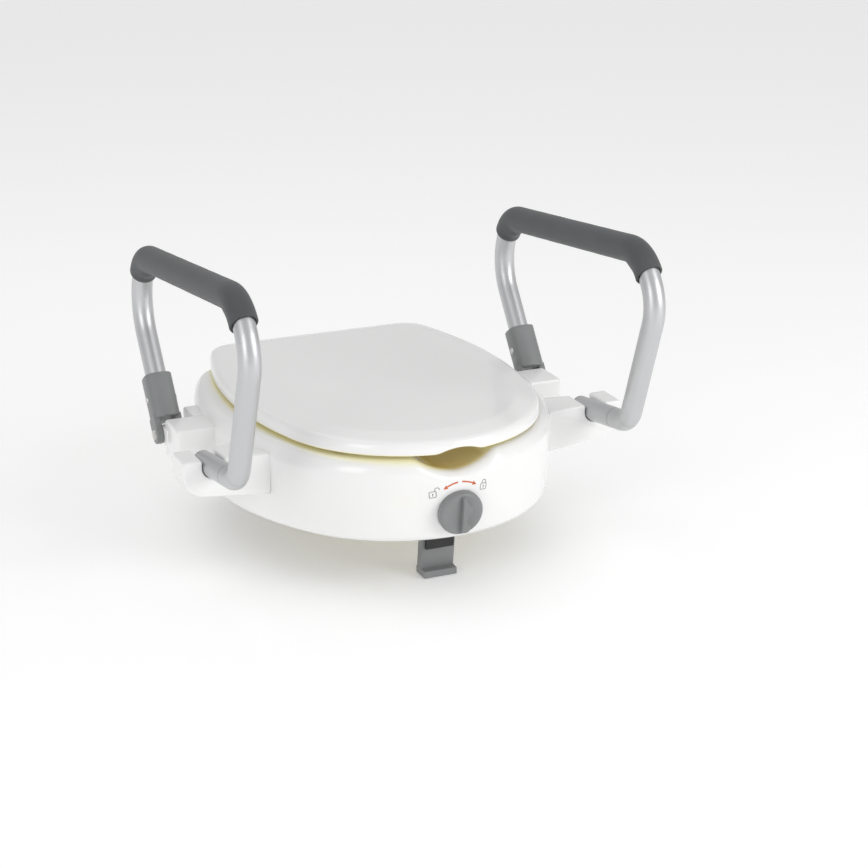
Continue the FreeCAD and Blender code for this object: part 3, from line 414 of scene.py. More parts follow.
# ---------------------------------------------------------------- lid
LID_STEPS = (64, 60, 22, 22)
LID_CROWN, LID_WALL, LIFT_HEIGHT = 20.0, 3.0, 11
LID_PROFILE = [(1.6, 0.0), (0.7, 0.3), (0.15, 1.1), (0, 2.4), (0.05, 5.0), (0.3, 8.0), (0.9, 10.4),
               (2.0, 12.6), (3.6, 14.2), (5.6, 15.2), (8.0, 15.9), (12, 16.75), (16, 17.6), (20, 18.4),
               (23, 19.0), (25.5, 19.45), (28, 19.78), (30.5, 19.94), (33, LID_CROWN)]


def finger_lift(x):
    """How far the rim's bottom rises over the finger hold: the arc of a circle, eased into the rim."""
    radius, rise, middle, ease = 60, 5.8, 3, 0.8
    raw = rise - radius + np.sqrt(np.clip(radius ** 2 - (x - middle) ** 2, 0, None))
    return ease * np.log1p(np.exp(np.clip(raw / ease, -30, 30)))


def make_lid():
    """The lid's skin: a rim profile carried round its outline, then the flat top drawn in to its middle.

    The inside is the same skin a wall's thickness further in, closed to the outside along the rim's bottom.
    The rim's bottom rises over the finger hold and, clear of the hinge, along the rear.
    """
    def skin(profile, middle_height, count):
        rows = []
        for inset, height in profile:
            flat = oval(inset, LID_STEPS, **LID)
            rows.append(np.column_stack([flat, np.full(len(flat), LID_Z + height)]))
        middle = np.array([0, 20, LID_Z + middle_height])
        for share in np.linspace(1, 0, count + 1)[1:-1]:
            row = middle + (rows[len(profile) - 1] - middle) * share
            row[:, 2] = LID_Z + middle_height - (middle_height - profile[-1][1]) * share ** 2
            rows.append(row)
        return rows, middle

    outer, top_middle = skin(LID_PROFILE, LID_CROWN, 14)
    under = [(LID_WALL + inset, max(h - LID_WALL, 0.6)) for inset, h in LID_PROFILE[4:-1]]
    inner, under_middle = skin(under, LID_CROWN - LID_WALL - 0.1, 10)
    rows = np.array(inner[::-1] + outer)
    height = rows[..., 2] - LID_Z
    lift = finger_lift(rows[..., 0]) * smooth_step(-150, -185, rows[..., 1])
    rows[..., 2] += lift * np.clip(1 - height / LIFT_HEIGHT, 0, 1)
    behind = smooth_step(121, 117, np.abs(rows[..., 0])) * smooth_step(214, 218, rows[..., 1])
    rows[..., 2] = np.maximum(rows[..., 2], (REAR_GAP_Z + 0.03 * height) * behind)

    points = np.concatenate([rows.reshape(-1, 3), [under_middle, top_middle]])
    count = rows.shape[1]
    last = (len(rows) - 1) * count
    ring = np.arange(count)
    after = (ring + 1) % count
    under_tip, top_tip = len(points) - 2, len(points) - 1
    faces = grid_faces(len(rows), count).tolist()
    faces += np.stack([np.full(count, under_tip), after, ring], -1).tolist()
    faces += np.stack([np.full(count, top_tip), last + ring, last + after], -1).tolist()
    # Painted bounce light: the lid's underside, and the bottom of its rim at 0.8, take the cream tint that
    # stands for light bounced between lid and seat.
    inside = np.zeros(len(points))
    inside[:len(inner) * count] = 1
    inside[under_tip] = 1
    low_rim = np.concatenate([1 - smooth_step(0.4, 2.6, height.ravel()), [0, 0]])
    return points, faces, {"painted_bounce_light": np.maximum(inside, 0.8 * low_rim), "notch_shade": np.zeros(len(points))}


# ---------------------------------------------------------------- armrests
TUBE_CORNERS = [(PIVOT_Y + 36.3 * math.sin(SLEEVE_LEAN), PIVOT_Z + 36.3 * math.cos(SLEEVE_LEAN)),
                (186.57, 261.4), (155.0, 325.3), (-181.9, 361.9), (-218.7, 308.5), (-162.3, 152.0),
                (-43.4, 135.5)]
TUBE_BENDS = [68, 40, 49, 53, 30]
GRIP_FROM, GRIP_TO = 166.0, 554.0
BEND_MARKS = (744.5, 778)  # distances along the tube of the faint rings at the lower front bend
END_TILT = (6.0, 3.0)  # how far the bend's inside reaches past the middle of the grip's end, front and rear


def bent_line(step):
    """Points along the tube's line in the YZ plane, a step apart: straight runs joined by tangent arcs.

    Returns the points, the directions and the distances along the line, and for each bend the distance of
    its middle and the direction towards its centre.
    """
    corners = np.array(TUBE_CORNERS)
    runs, bends, start, done = [], [], corners[0], 0.0
    for before, corner, after, radius in zip(corners, corners[1:], corners[2:], TUBE_BENDS):
        into = (corner - before) / np.linalg.norm(corner - before)
        out = (after - corner) / np.linalg.norm(after - corner)
        turn = math.acos(np.dot(into, out))
        reach = radius * math.tan(turn / 2)
        a = corner - into * reach
        inward = out - into
        inward /= np.linalg.norm(inward)
        centre = corner + inward * radius / math.cos(turn / 2)
        length = np.linalg.norm(a - start)
        count = max(2, int(length / step))
        t = np.linspace(0, 1, count, endpoint=False)[:, None]
        runs.append((start + (a - start) * t, np.repeat(into[None], count, 0), done + t[:, 0] * length))
        done += length
        count = max(6, int(radius * turn / step * 1.6))
        t = np.linspace(0, 1, count, endpoint=False)
        side = (a - centre) / radius
        cosine, sine = np.cos(t * turn)[:, None], np.sin(t * turn)[:, None]
        runs.append((centre + radius * (cosine * side + sine * into), cosine * into - sine * side,
                     done + t * radius * turn))
        bends.append((done + radius * turn / 2, inward))
        done += radius * turn
        start = corner + out * reach
    length = np.linalg.norm(corners[-1] - start)
    t = np.linspace(0, 1, max(2, int(length / step)) + 1)[:, None]
    runs.append((start + (corners[-1] - start) * t, np.repeat(out[None], len(t), 0),
                 done + t[:, 0] * length))
    return [np.concatenate(parts) for parts in zip(*runs)], bends


def swept(points, ways, radii, around):
    """Rings across a line in the YZ plane at x = 0. radii is one radius for each point and angle."""
    a = np.linspace(0, 2 * math.pi, around, endpoint=False)
    across = np.stack([-ways[:, 1], ways[:, 0]], -1)
    x = radii * np.cos(a)
    yz = points[:, None, :] + radii[..., None] * np.sin(a)[None, :, None] * across[:, None, :]
    return np.concatenate([x[..., None], yz], -1)


def make_tube():
    """A bent tube with a 1.5 mm wall: rings along its line outside, then back along the bore."""
    (line, ways, along), _ = bent_line(3.5)
    around = 48
    radii = np.full((len(line), around), TUBE_RADIUS)
    mark = sum(np.exp(-((along - middle) / 1.1) ** 2) for middle in BEND_MARKS)
    radii -= 0.16 * mark[:, None]
    outer = swept(line, ways, radii, around)
    inner = swept(line[::-1], ways[::-1], np.full((len(line), around), TUBE_BORE), around)
    rows = np.concatenate([outer, inner])
    share = np.linspace(0, 1, around, endpoint=False)
    u = np.tile(share, len(rows))
    v = np.repeat(np.concatenate([along, along[::-1]]) / 1000, around)
    marks = np.concatenate([mark, np.zeros(len(line))])
    faces = grid_faces(len(rows), around, loop_rows=True)
    return rows.reshape(-1, 3), faces, np.stack([u, v], -1), np.repeat(marks, around)


def make_grip():
    """A foam tube round the armrest's top: its ends roll in to the metal, and it bunches inside the bends."""
    (line, ways, along), bends = bent_line(2.5)
    inside = (along >= GRIP_FROM) & (along <= GRIP_TO)
    line, ways, along = line[inside], ways[inside], along[inside]
    around = 64
    a = np.linspace(0, 2 * math.pi, around, endpoint=False)
    across = np.stack([-ways[:, 1], ways[:, 0]], -1)
    radii = np.full((len(line), around), GRIP_RADIUS)
    for middle, inward in bends[1:3]:
        facing = np.clip(np.sin(a)[None, :] * (across @ inward)[:, None], 0, 1)
        radii += 3.2 * facing ** 3 * np.exp(-((along - middle) / 14.0) ** 2)[:, None]
    lip = 4.0
    for end in (GRIP_FROM, GRIP_TO):
        t = np.clip(np.abs(along - end) / lip, 0, 1)
        radii -= (0.9 * (1 - np.sqrt(1 - (1 - t) ** 2)))[:, None]
    radii -= 0.12 * (0.5 + 0.5 * np.sin(along / 9.0 + np.sin(along / 23.0)))[:, None]
    outer = swept(line, ways, radii, around)

    hole = TUBE_RADIUS + 0.35
    roll = np.linspace(0.15, math.pi * 0.62, 7)
    end_radii = np.append(TUBE_RADIUS + 1.55 * (1 + np.cos(roll)), hole)
    end_shifts = np.append(1.6 * (np.sin(roll) - 1), -3.0)
    ends = []
    for i, way_out, bend, reach, end in ((-1, 1, bends[2], END_TILT[0], GRIP_TO),
                                         (0, -1, bends[1], END_TILT[1], GRIP_FROM)):
        centres = line[i] + ways[i] * way_out * end_shifts[:, None]
        rings = swept(centres, np.repeat(ways[i][None], len(centres), 0),
                      np.repeat(end_radii[:, None], around, 1), around)
        tilt = way_out * reach * np.sin(a) * (across[i] @ bend[1])
        rings[..., 1:] += tilt[None, :, None] * ways[i]
        fade = np.clip(1 - np.abs(along - end) / 30, 0, 1)
        outer[..., 1:] += (tilt * fade[:, None])[..., None] * ways[:, None, :]
        ends.append(rings)

    keep, back = slice(1, -1), slice(-7, 5, -6)
    bore = swept(line[back], ways[back], np.full((len(line[back]), around), hole), around)
    rows = np.concatenate([outer[keep], ends[0], bore, ends[1][::-1]])
    v = np.concatenate([along[keep], np.full(len(ends[0]), GRIP_TO), along[back],
                        np.full(len(ends[1]), GRIP_FROM)])
    # Mask for painted shade: nought on the outside, rising over each rolled end to one along the bore.
    rim = np.concatenate([np.zeros(len(outer[keep])), np.linspace(0, 1, len(ends[0])), np.ones(len(bore)),
                          np.linspace(1, 0, len(ends[1]))])
    share = np.linspace(0, 1, around, endpoint=False)
    uv = np.stack([np.tile(share, len(rows)), np.repeat(v / 1000, around)], -1)
    return rows.reshape(-1, 3), grid_faces(len(rows), around, loop_rows=True), uv, np.repeat(rim, around)


def lean_back(points):
    """From the sleeve's own frame, Z along its axis, to its place beside the shell."""
    p = np.asarray(points, float)
    c, s = math.cos(SLEEVE_LEAN), math.sin(SLEEVE_LEAN)
    return np.stack([p[:, 0], PIVOT_Y + c * p[:, 1] + s * p[:, 2], PIVOT_Z - s * p[:, 1] + c * p[:, 2]], -1)


def make_sleeve():
    """A barrel with two flat sides, rounded at both ends, on a fork of two round-ended legs.

    The flats come from a tanh of the circle's x, which bunches the points up against the half width.
    """
    a = np.linspace(0, 2 * math.pi, 96, endpoint=False)
    squash, low_round, high_round = 1.375786, 2, 1.6

    def barrel(height, inset):
        shrink = 1 - inset / SLEEVE_RADIUS
        x = SLEEVE_HALF * np.tanh(squash * np.cos(a)) / math.tanh(squash)
        return np.stack([x * shrink, SLEEVE_RADIUS * np.sin(a) * shrink, np.full_like(a, height)], -1)

    rows = [barrel(SLEEVE_BOTTOM + low_round * (1 - math.cos(b)), low_round * (1 - math.sin(b)))
            for b in np.linspace(0, math.pi / 2, 6)]
    rows += [barrel(h, 0) for h in (30, 46, 62)]
    rows += [barrel(SLEEVE_TOP - high_round * (1 - math.cos(b)), high_round * (1 - math.sin(b)))
             for b in np.linspace(math.pi / 2, 0, 6)]
    for radius, height in ((TUBE_RADIUS + 0.9, SLEEVE_TOP), (TUBE_RADIUS + 0.15, SLEEVE_TOP - 0.8),
                           (TUBE_RADIUS + 0.02, 60), (TUBE_RADIUS + 0.02, SOCKET_FLOOR)):
        rows.append(np.stack([radius * np.cos(a), radius * np.sin(a), np.full_like(a, height)], -1))
    parts = [(np.concatenate(rows), capped(len(rows), len(a)))]

    def leg(_):
        corners = [(-LUG_ROUND, -LUG_ROUND), (LUG_ROUND, -LUG_ROUND), (LUG_ROUND, SLEEVE_BOTTOM + 5),
                   (-LUG_ROUND, SLEEVE_BOTTOM + 5)]
        return corners, [10.8, 10.8, 2, 2]

    inner = LUG_HALF + 0.4
    for low, high in ((-SLEEVE_HALF, -inner), (inner, SLEEVE_HALF)):
        parts.append(prism(leg, low, high, 1.4, "x"))
    points, faces = joined(parts)
    return lean_back(points), faces


# ---------------------------------------------------------------- clamp knob
def from_wall(points):
    """From the knob's own frame, Z outwards and Y up the wall, to the shell's front."""
    p = np.asarray(points, float)
    c, s = math.cos(WALL_LEAN), math.sin(WALL_LEAN)
    return np.stack([p[:, 0], KNOB_Y - c * p[:, 2] - s * p[:, 1], KNOB_Z + c * p[:, 1] - s * p[:, 2]], -1)


def turned(profile, around=96):
    """A profile of (radius, height) spun about Z, closed where its radius is nought."""
    profile = np.asarray(profile, float)
    a = np.linspace(0, 2 * math.pi, around, endpoint=False)
    rows = np.stack([profile[:, :1] * np.cos(a), profile[:, :1] * np.sin(a),
                     np.repeat(profile[:, 1:], around, 1)], -1)
    return rows.reshape(-1, 3), capped(len(rows), around)


def make_knob():
    """A round disc with a soft edge and a grip ridge whose left side is straight and right side waves.

    The ridge's section is a list of (share, rise): the share runs from the left side to the crest line at 1
    and past it down a foot, and the rise goes from the disc's face to the ridge's height.
    """
    face = 11.5
    disc = turned([(2, 0.6), (25.1, 0.6), (25.9, 0.9), (26.2, 1.8), (26.2, 6.6), (25.9, 8.4), (25.1, 9.8),
                   (23.8, 10.8), (22.0, 11.3), (19.5, face), (2, face)])
    t = np.linspace(-1, 1, 41)
    y = 22.8 * t
    end = np.sqrt(np.clip(1 - np.abs(t) ** 6, 0, 1))
    left, foot, base = -1.8, 3.6, face + 0.1
    crest = (5.9 + 3.0 * np.cos(2 * math.pi * (y - 7) / 26) - left) * end + left
    height = 12 + 6.3 * end ** 0.8
    section = []
    for share, rise in ((0, 0), (0, 0.5), (0.01, 0.74), (0.05, 0.84), (0.14, 0.87), (0.5, 0.94), (0.8, 1.0),
                        (0.93, 0.985), (1.0, 0.88), (1.05, 0.6), (1.1, 0.34), (1.2, 0.12), (1.32, 0.02),
                        (1.4, 0)):
        x = left + (crest - left) * min(share, 1) + max(share - 1, 0) / 0.4 * foot * end
        section.append(np.stack([x, y, base + (height - base) * rise], -1))
    ridge = np.array(section).transpose(1, 0, 2)
    points, faces = joined([disc, (ridge.reshape(-1, 3), capped(*ridge.shape[:2]))])
    return from_wall(points), faces


# ---------------------------------------------------------------- marks on the front wall
def on_wall(flat, lift):
    """Points (across, up) from the knob's centre laid on the shell's front, lifted off it by a little."""
    flat = np.asarray(flat, float)
    x, level = flat[:, 0], KNOB_Z - SKIRT_Z + flat[:, 1] * math.cos(WALL_LEAN)
    dip = notch_dip(np.stack([x, np.full_like(x, SHELL_FRONT)], -1))
    height = level
    for _ in range(12):  # the height before the notch's dip, found by repeating
        height = level + dip * wall_share(height)
    front = SKIRT_FRONT + height / SHELL_HEIGHT * (SHELL_FRONT - SKIRT_FRONT)
    over = np.clip((height - SHOULDER) / SHOULDER_DOWN, 0, 1)
    in_by = SHOULDER_ACROSS * (1 - np.sqrt(1 - over ** 2))
    y = front + SHELL_FRONT_RADIUS - np.sqrt((SHELL_FRONT_RADIUS + lift - in_by) ** 2 - x ** 2)
    return np.stack([x, y, SKIRT_Z + level], -1)


def ribbon(line, widths, closed=False):
    """A thin raised strip along a flat line, laid on the front wall."""
    line = np.asarray(line, float)
    ahead = np.roll(line, -1, 0) - np.roll(line, 1, 0)
    if not closed:
        ahead[0], ahead[-1] = line[1] - line[0], line[-1] - line[-2]
    ahead /= np.linalg.norm(ahead, axis=1)[:, None]
    across = np.stack([-ahead[:, 1], ahead[:, 0]], -1) * (np.broadcast_to(widths, len(line)) / 2)[:, None]
    sunk, raised = -0.3, 0.14
    rows = np.stack([on_wall(line - across, sunk), on_wall(line - across, raised),
                     on_wall(line + across, raised), on_wall(line + across, sunk)], 1)
    faces = grid_faces(len(line), 4, loop_rows=True).tolist() if closed else capped(len(line), 4)
    return rows.reshape(-1, 3), faces


def arrow(a0, a1, radius, width, head):
    """A curved arrow about the knob's centre: an even shaft, then a head that tapers to its tip."""
    a = np.radians(np.linspace(a0, a1, 25))
    line = radius * np.stack([np.sin(a), np.cos(a)], -1)
    tip = np.radians(np.linspace(a1, a1 + head * np.sign(a1 - a0), 8))
    point = radius * np.stack([np.sin(tip), np.cos(tip)], -1)
    return joined([ribbon(line, width), ribbon(point, np.linspace(width * 3.2, 0.05, 8))])


def padlock(centre, lean, is_open):
    """A square body's outline with a keyhole, under a shackle that is shut or swung aside."""
    half, line, bow_radius = 3.8, 0.85, 2.5
    c, s = math.cos(lean), math.sin(lean)

    def turn(points):
        p = np.asarray(points, float)
        return np.stack([centre[0] + c * p[:, 0] + s * p[:, 1], centre[1] - s * p[:, 0] + c * p[:, 1]], -1)

    body = rounded_loop([(-half, -half), (half, -half), (half, half), (-half, half)], [1.3] * 4, 0)
    a = np.linspace(-0.25 if is_open else 0, math.pi, 15)
    bow = np.stack([bow_radius * np.cos(a), half + 1.8 + bow_radius * np.sin(a)], -1)
    bow = np.concatenate([bow, [(-bow_radius, half + 0.3)]])
    if is_open:
        bow += (5.0, 0)
    else:
        bow = np.concatenate([[(bow_radius, half + 0.3)], bow])
    hole = np.stack([np.zeros(6), np.linspace(1.5, -2.0, 6)], -1)
    return joined([ribbon(turn(body), line, closed=True), ribbon(turn(bow), line),
                   ribbon(turn(hole), [1.5, 1.5, 1.2, 0.8, 0.9, 1.0])])


# ---------------------------------------------------------------- finishes
def grain_group():
    """Fine moulded grain: two noises on object coordinates, put out as a height and a broad colour mask."""
    group = bpy.data.node_groups.new("fine_grain", "ShaderNodeTree")
    for name, value in (("Scale", 900.0), ("Broad Scale", 9.0)):
        socket = group.interface.new_socket(name, in_out="INPUT", socket_type="NodeSocketFloat")
        socket.default_value = value
    group.interface.new_socket("Height", in_out="OUTPUT", socket_type="NodeSocketFloat")
    group.interface.new_socket("Mask", in_out="OUTPUT", socket_type="NodeSocketFloat")
    start, end = group.nodes.new("NodeGroupInput"), group.nodes.new("NodeGroupOutput")
    place_node = group.nodes.new("ShaderNodeTexCoord")
    for scale, detail, result in (("Scale", 3.0, "Height"), ("Broad Scale", 2.0, "Mask")):
        noise = group.nodes.new("ShaderNodeTexNoise")
        noise.inputs["Detail"].default_value = detail
        group.links.new(place_node.outputs["Object"], noise.inputs["Vector"])
        group.links.new(start.outputs[scale], noise.inputs["Scale"])
        group.links.new(noise.outputs["Fac"], end.inputs[result])
    return group


GRAIN = grain_group()


class Finish:
    """A material under construction, with short ways to add and link nodes."""

    def __init__(self, name, colour, roughness, metallic=0.0):
        self.material = bpy.data.materials.new(name)
        self.material.use_nodes = True
        self.tree = self.material.node_tree
        self.shader = next(n for n in self.tree.nodes if n.type == "BSDF_PRINCIPLED")
        self.shader.inputs["Base Color"].default_value = (*colour, 1)
        self.shader.inputs["Roughness"].default_value = roughness
        self.shader.inputs["Metallic"].default_value = metallic

    def add(self, kind, **values):
        node = self.tree.nodes.new(kind)
        for name, value in values.items():
            node.inputs[name.replace("_", " ")].default_value = value
        return node

    def link(self, a, b):
        self.tree.links.new(a, b)

    def grain(self, scale, broad):
        node = self.tree.nodes.new("ShaderNodeGroup")
        node.node_tree = GRAIN
        node.inputs["Scale"].default_value = scale
        node.inputs["Broad Scale"].default_value = broad
        return node

    def bump(self, height, strength, distance):
        node = self.add("ShaderNodeBump", Strength=strength, Distance=distance)
        self.link(height, node.inputs["Height"])
        self.link(node.outputs["Normal"], self.shader.inputs["Normal"])

    def spread(self, value, low, high):
        """Maps a mask from 0..1 to low..high."""
        node = self.add("ShaderNodeMapRange")
        node.inputs["From Min"].default_value, node.inputs["From Max"].default_value = 0.3, 0.7
        node.inputs["To Min"].default_value, node.inputs["To Max"].default_value = low, high
        self.link(value, node.inputs["Value"])
        return node.outputs["Result"]

    def mix(self, mask, first, second):
        """Mixes two colours, each a triple or an output, by a mask."""
        node = self.tree.nodes.new("ShaderNodeMix")
        node.data_type = "RGBA"
        for socket, value in ((node.inputs[6], first), (node.inputs[7], second)):
            if isinstance(value, tuple):
                socket.default_value = (*value, 1)
            else:
                self.link(value, socket)
        self.link(mask, node.inputs[0])
        return node.outputs[2]

    def attribute(self, name):
        node = self.tree.nodes.new("ShaderNodeAttribute")
        node.attribute_name = name
        return node.outputs["Fac"]

    def colour(self, output):
        self.link(output, self.shader.inputs["Base Color"])

    def roughness(self, output):
        self.link(output, self.shader.inputs["Roughness"])


# The second colour is painted bounce light, a cream tint for light bounced between lid and seat; the third is
# painted shade, amber for the notch's floor in the lid's shadow with light coming through the plastic.
WHITE, BOUNCE_LIGHT_CREAM, NOTCH_SHADE_AMBER = (0.88, 0.88, 0.875), (0.88, 0.84, 0.58), (0.45, 0.29, 0.04)
BLACK = (0.0, 0.0, 0.0)
GLOW = (0.05, 0.045, 0.02)  # painted glow: emission that stands in for daylight coming through the thin wall


def white_plastic(name, painted_light_inside):
    """Glossy white moulding: faint mottling and a slight orange peel; when asked for, painted light as well:
    a cream tint and faint glow for light bounced between lid and seat and coming through the thin wall, and a
    painted amber shade in the notch under the lid.
    """
    f = Finish(name, WHITE, 0.2)
    grain = f.grain(420.0, 14.0)
    tone = f.mix(f.spread(grain.outputs["Mask"], 0.0, 1.0), WHITE, tuple(c * 0.985 for c in WHITE))
    if painted_light_inside:
        painted_bounce_light, notch_shade = f.attribute("painted_bounce_light"), f.attribute("notch_shade")
        # Painted bounce light: a cream tint where light bounces between lid and seat.
        tone = f.mix(painted_bounce_light, tone, BOUNCE_LIGHT_CREAM)
        # Painted shade: an amber tint on the notch's floor in the lid's shadow, with light coming through the
        # plastic.
        tone = f.mix(notch_shade, tone, NOTCH_SHADE_AMBER)
        # Painted glow: emission on the cream-tinted areas and none in the notch, standing in for light
        # through the thin wall.
        glow = f.mix(notch_shade, f.mix(painted_bounce_light, BLACK, GLOW), BLACK)
        f.link(glow, f.shader.inputs["Emission Color"])
        f.shader.inputs["Emission Strength"].default_value = 1.0
    f.colour(tone)
    f.roughness(f.spread(grain.outputs["Mask"], 0.17, 0.25))
    f.bump(grain.outputs["Height"], 0.05, 0.0003)
    f.shader.inputs["Coat Weight"].default_value = 0.25
    f.shader.inputs["Coat Roughness"].default_value = 0.08
    return f.material


def grey_plastic():
    f = Finish("grey_satin_plastic", (0.2, 0.205, 0.21), 0.42)
    grain = f.grain(1500.0, 30.0)
    f.colour(f.mix(f.spread(grain.outputs["Mask"], 0.0, 1.0), (0.215, 0.22, 0.222), (0.235, 0.24, 0.243)))
    f.roughness(f.spread(grain.outputs["Mask"], 0.36, 0.46))
    f.bump(grain.outputs["Height"], 0.22, 0.0002)
    return f.material


def foam():
    """Closed-cell foam: tiny pores, a broad mottling, a soft sheen, and painted shade: darker where the ends
    roll in to the bore.
    """
    f = Finish("grey_foam_skin", (0.07, 0.073, 0.077), 0.72)
    grain = f.grain(1300.0, 24.0)
    pores = f.add("ShaderNodeTexVoronoi", Scale=1100.0)
    spot = f.tree.nodes.new("ShaderNodeTexCoord")
    f.link(spot.outputs["Object"], pores.inputs["Vector"])
    tone = f.mix(f.spread(grain.outputs["Mask"], 0.0, 1.0), (0.062, 0.065, 0.068), (0.08, 0.083, 0.087))
    # Painted shade: near black where the ends roll in and down the bore.
    tone = f.mix(f.attribute("rolled_in_shade"), tone, (0.02, 0.021, 0.022))
    f.colour(tone)
    f.roughness(f.spread(grain.outputs["Mask"], 0.6, 0.74))
    f.bump(pores.outputs["Distance"], 0.35, 0.0004)
    f.shader.inputs["Sheen Weight"].default_value = 0.12
    f.shader.inputs["Sheen Roughness"].default_value = 0.5
    return f.material


def anodised_tube():
    """Satin anodised aluminium: fine drawn lines along the tube, broken up, and faint rings at one bend."""
    f = Finish("satin_anodised", (0.6, 0.6, 0.61), 0.4, 1.0)
    along = f.tree.nodes.new("ShaderNodeUVMap")
    along.uv_map = "along"
    stretch = f.tree.nodes.new("ShaderNodeMapping")
    stretch.inputs["Scale"].default_value = (160.0, 6.0, 1.0)
    f.link(along.outputs["UV"], stretch.inputs["Vector"])
    lines = f.add("ShaderNodeTexNoise", Scale=1.0, Detail=4.0)
    f.link(stretch.outputs["Vector"], lines.inputs["Vector"])
    tone = f.mix(f.spread(lines.outputs["Fac"], 0.0, 1.0), (0.575, 0.58, 0.59), (0.61, 0.615, 0.625))
    f.colour(f.mix(f.attribute("mark"), tone, (0.46, 0.465, 0.475)))
    f.roughness(f.spread(lines.outputs["Fac"], 0.37, 0.44))
    f.bump(lines.outputs["Fac"], 0.03, 0.0002)
    return f.material


def plated_steel():
    f = Finish("zinc_plated", (0.55, 0.55, 0.54), 0.32, 1.0)
    grain = f.grain(700.0, 60.0)
    f.colour(f.mix(f.spread(grain.outputs["Mask"], 0.0, 1.0), (0.5, 0.5, 0.49), (0.62, 0.62, 0.6)))
    f.roughness(f.spread(grain.outputs["Mask"], 0.26, 0.4))
    f.bump(grain.outputs["Height"], 0.1, 0.0002)
    return f.material


def black_rubber():
    f = Finish("black_rubber", (0.02, 0.02, 0.02), 0.6)
    grain = f.grain(1100.0, 40.0)
    f.colour(f.mix(f.spread(grain.outputs["Mask"], 0.0, 1.0), (0.018, 0.018, 0.018), (0.032, 0.032, 0.032)))
    f.roughness(f.spread(grain.outputs["Mask"], 0.52, 0.68))
    f.bump(grain.outputs["Height"], 0.3, 0.0003)
    return f.material


def ink(name, colour):
    """Printed ink: a slightly uneven film."""
    f = Finish(name, colour, 0.4)
    grain = f.grain(900.0, 120.0)
    f.colour(f.mix(f.spread(grain.outputs["Mask"], 0.0, 1.0), colour, tuple(c * 0.85 for c in colour)))
    f.roughness(f.spread(grain.outputs["Mask"], 0.34, 0.46))
    return f.material


SHELL_WHITE = white_plastic("white_plastic_painted_bounce_light", True)
FINISHES = {
    "white_plastic": white_plastic("white_plastic_plain", False),
    "grey_plastic": grey_plastic(),
    "grey_foam": foam(),
    "anodised_tube": anodised_tube(),
    "steel": plated_steel(),
    "black_rubber": black_rubber(),
}
for part in frame["record"]["subparts"]:
    mesh = frame["nodes"][part["node"]].data
    mesh.materials.clear()
    mesh.materials.append(FINISHES[part["material_slot"]])

# ---------------------------------------------------------------- pieces
WHITE_PLASTIC, GREY_PLASTIC = FINISHES["white_plastic"], FINISHES["grey_plastic"]
points, faces, masks = make_shell()
place("seat_body", points, faces, SHELL_WHITE, "seat", "white_plastic", masks=masks, replaces=("seat_shell",))
bracket = side_bracket()
place("bracket_right", *joined(bracket), WHITE_PLASTIC, "seat", "white_plastic")
place("bracket_left", *joined([mirrored(shape) for shape in bracket]), WHITE_PLASTIC, "seat", "white_plastic")
towers = joined([hinge_tower(x) for x in TOWERS_X])
place("hinge_towers", *towers, WHITE_PLASTIC, "seat", "white_plastic")

under_ribs = []
for rib_y, start, reach in CROSS_RIBS:
    for a, b in ((-reach, -start), (start, reach)):
        under_ribs.append(soft_box((a, rib_y - RIB_HALF, RIB_LOW), (b, rib_y + RIB_HALF, RIB_TOP), 0.8))
boss, boss_faces = turned([(2.1, 126), (5.6, 126), (6, 126.4), (6, RIB_TOP), (2.1, RIB_TOP)], 32)
for x in HOOKS_X:
    under_ribs.append(soft_box((x - RIB_HALF, 172, RIB_LOW), (x + RIB_HALF, 218, RIB_TOP), 0.8))
    for shift in (-HOOK_SCREW_SHIFT, HOOK_SCREW_SHIFT):
        under_ribs.append((boss + (x + shift, HOOK_SCREWS_Y, 0), boss_faces))
place("under_ribs", *joined(under_ribs), WHITE_PLASTIC, "seat", "white_plastic")

points, faces, masks = make_lid()
place("lid_panel", points, faces, SHELL_WHITE, "lid", "white_plastic", masks=masks, replaces=("lid",))


def knuckle(_):
    """The side view of a lid knuckle: a rounded eye under a web that leads into the lid's top."""
    web, low, back = 218.5, HINGE_Z - 6.8, HINGE_Y + 6.9
    return [(web, HINGE_Z), (HINGE_Y - 6.6, low), (back, low), (back, 177), (web, 183)], [1.5, 5, 6.2, 5, 1.5]


knuckles = []
for x in TOWERS_X:
    for near, far in ((-TOWER_HALF - 10.4, -TOWER_HALF - 0.4), (TOWER_HALF + 0.4, TOWER_HALF + 10.4)):
        knuckles.append(prism(knuckle, x + near, x + far, 1.0, "x"))
boss, boss_faces = turned([(1, 172.2), (7.4, 172.2), (8, 172.8), (8, 183.5), (1, 183.5)], 40)
knuckles += [(boss + (x, y, 0), boss_faces) for x, y in LID_BUFFERS]
place("lid_knuckles", *joined(knuckles), WHITE_PLASTIC, "lid", "white_plastic")

tube_points, tube_faces, tube_uv, tube_marks = make_tube()
grip_points, grip_faces, grip_uv, grip_end_shade = make_grip()
sleeve_points, sleeve_faces = make_sleeve()
for side, sign in (("left", -1), ("right", 1)):
    shift = np.array([sign * TUBE_X, 0, 0])
    body = f"armrest_{side}"
    place(f"tube_{side}", tube_points + shift, tube_faces, FINISHES["anodised_tube"], body, "anodised_tube",
          masks={"mark": tube_marks}, uv=tube_uv, replaces=(f"armrest_tube_{side}",))
    grip = place(f"grip_{side}", grip_points + shift, grip_faces, FINISHES["grey_foam"], body, "grey_foam",
                 smooth_angle=60, masks={"rolled_in_shade": grip_end_shade}, uv=grip_uv,
                 replaces=(f"armrest_grip_{side}",))
    place(f"sleeve_{side}", sleeve_points + shift, sleeve_faces, GREY_PLASTIC, body, "grey_plastic",
          replaces=(f"pivot_sleeve_{side}",))

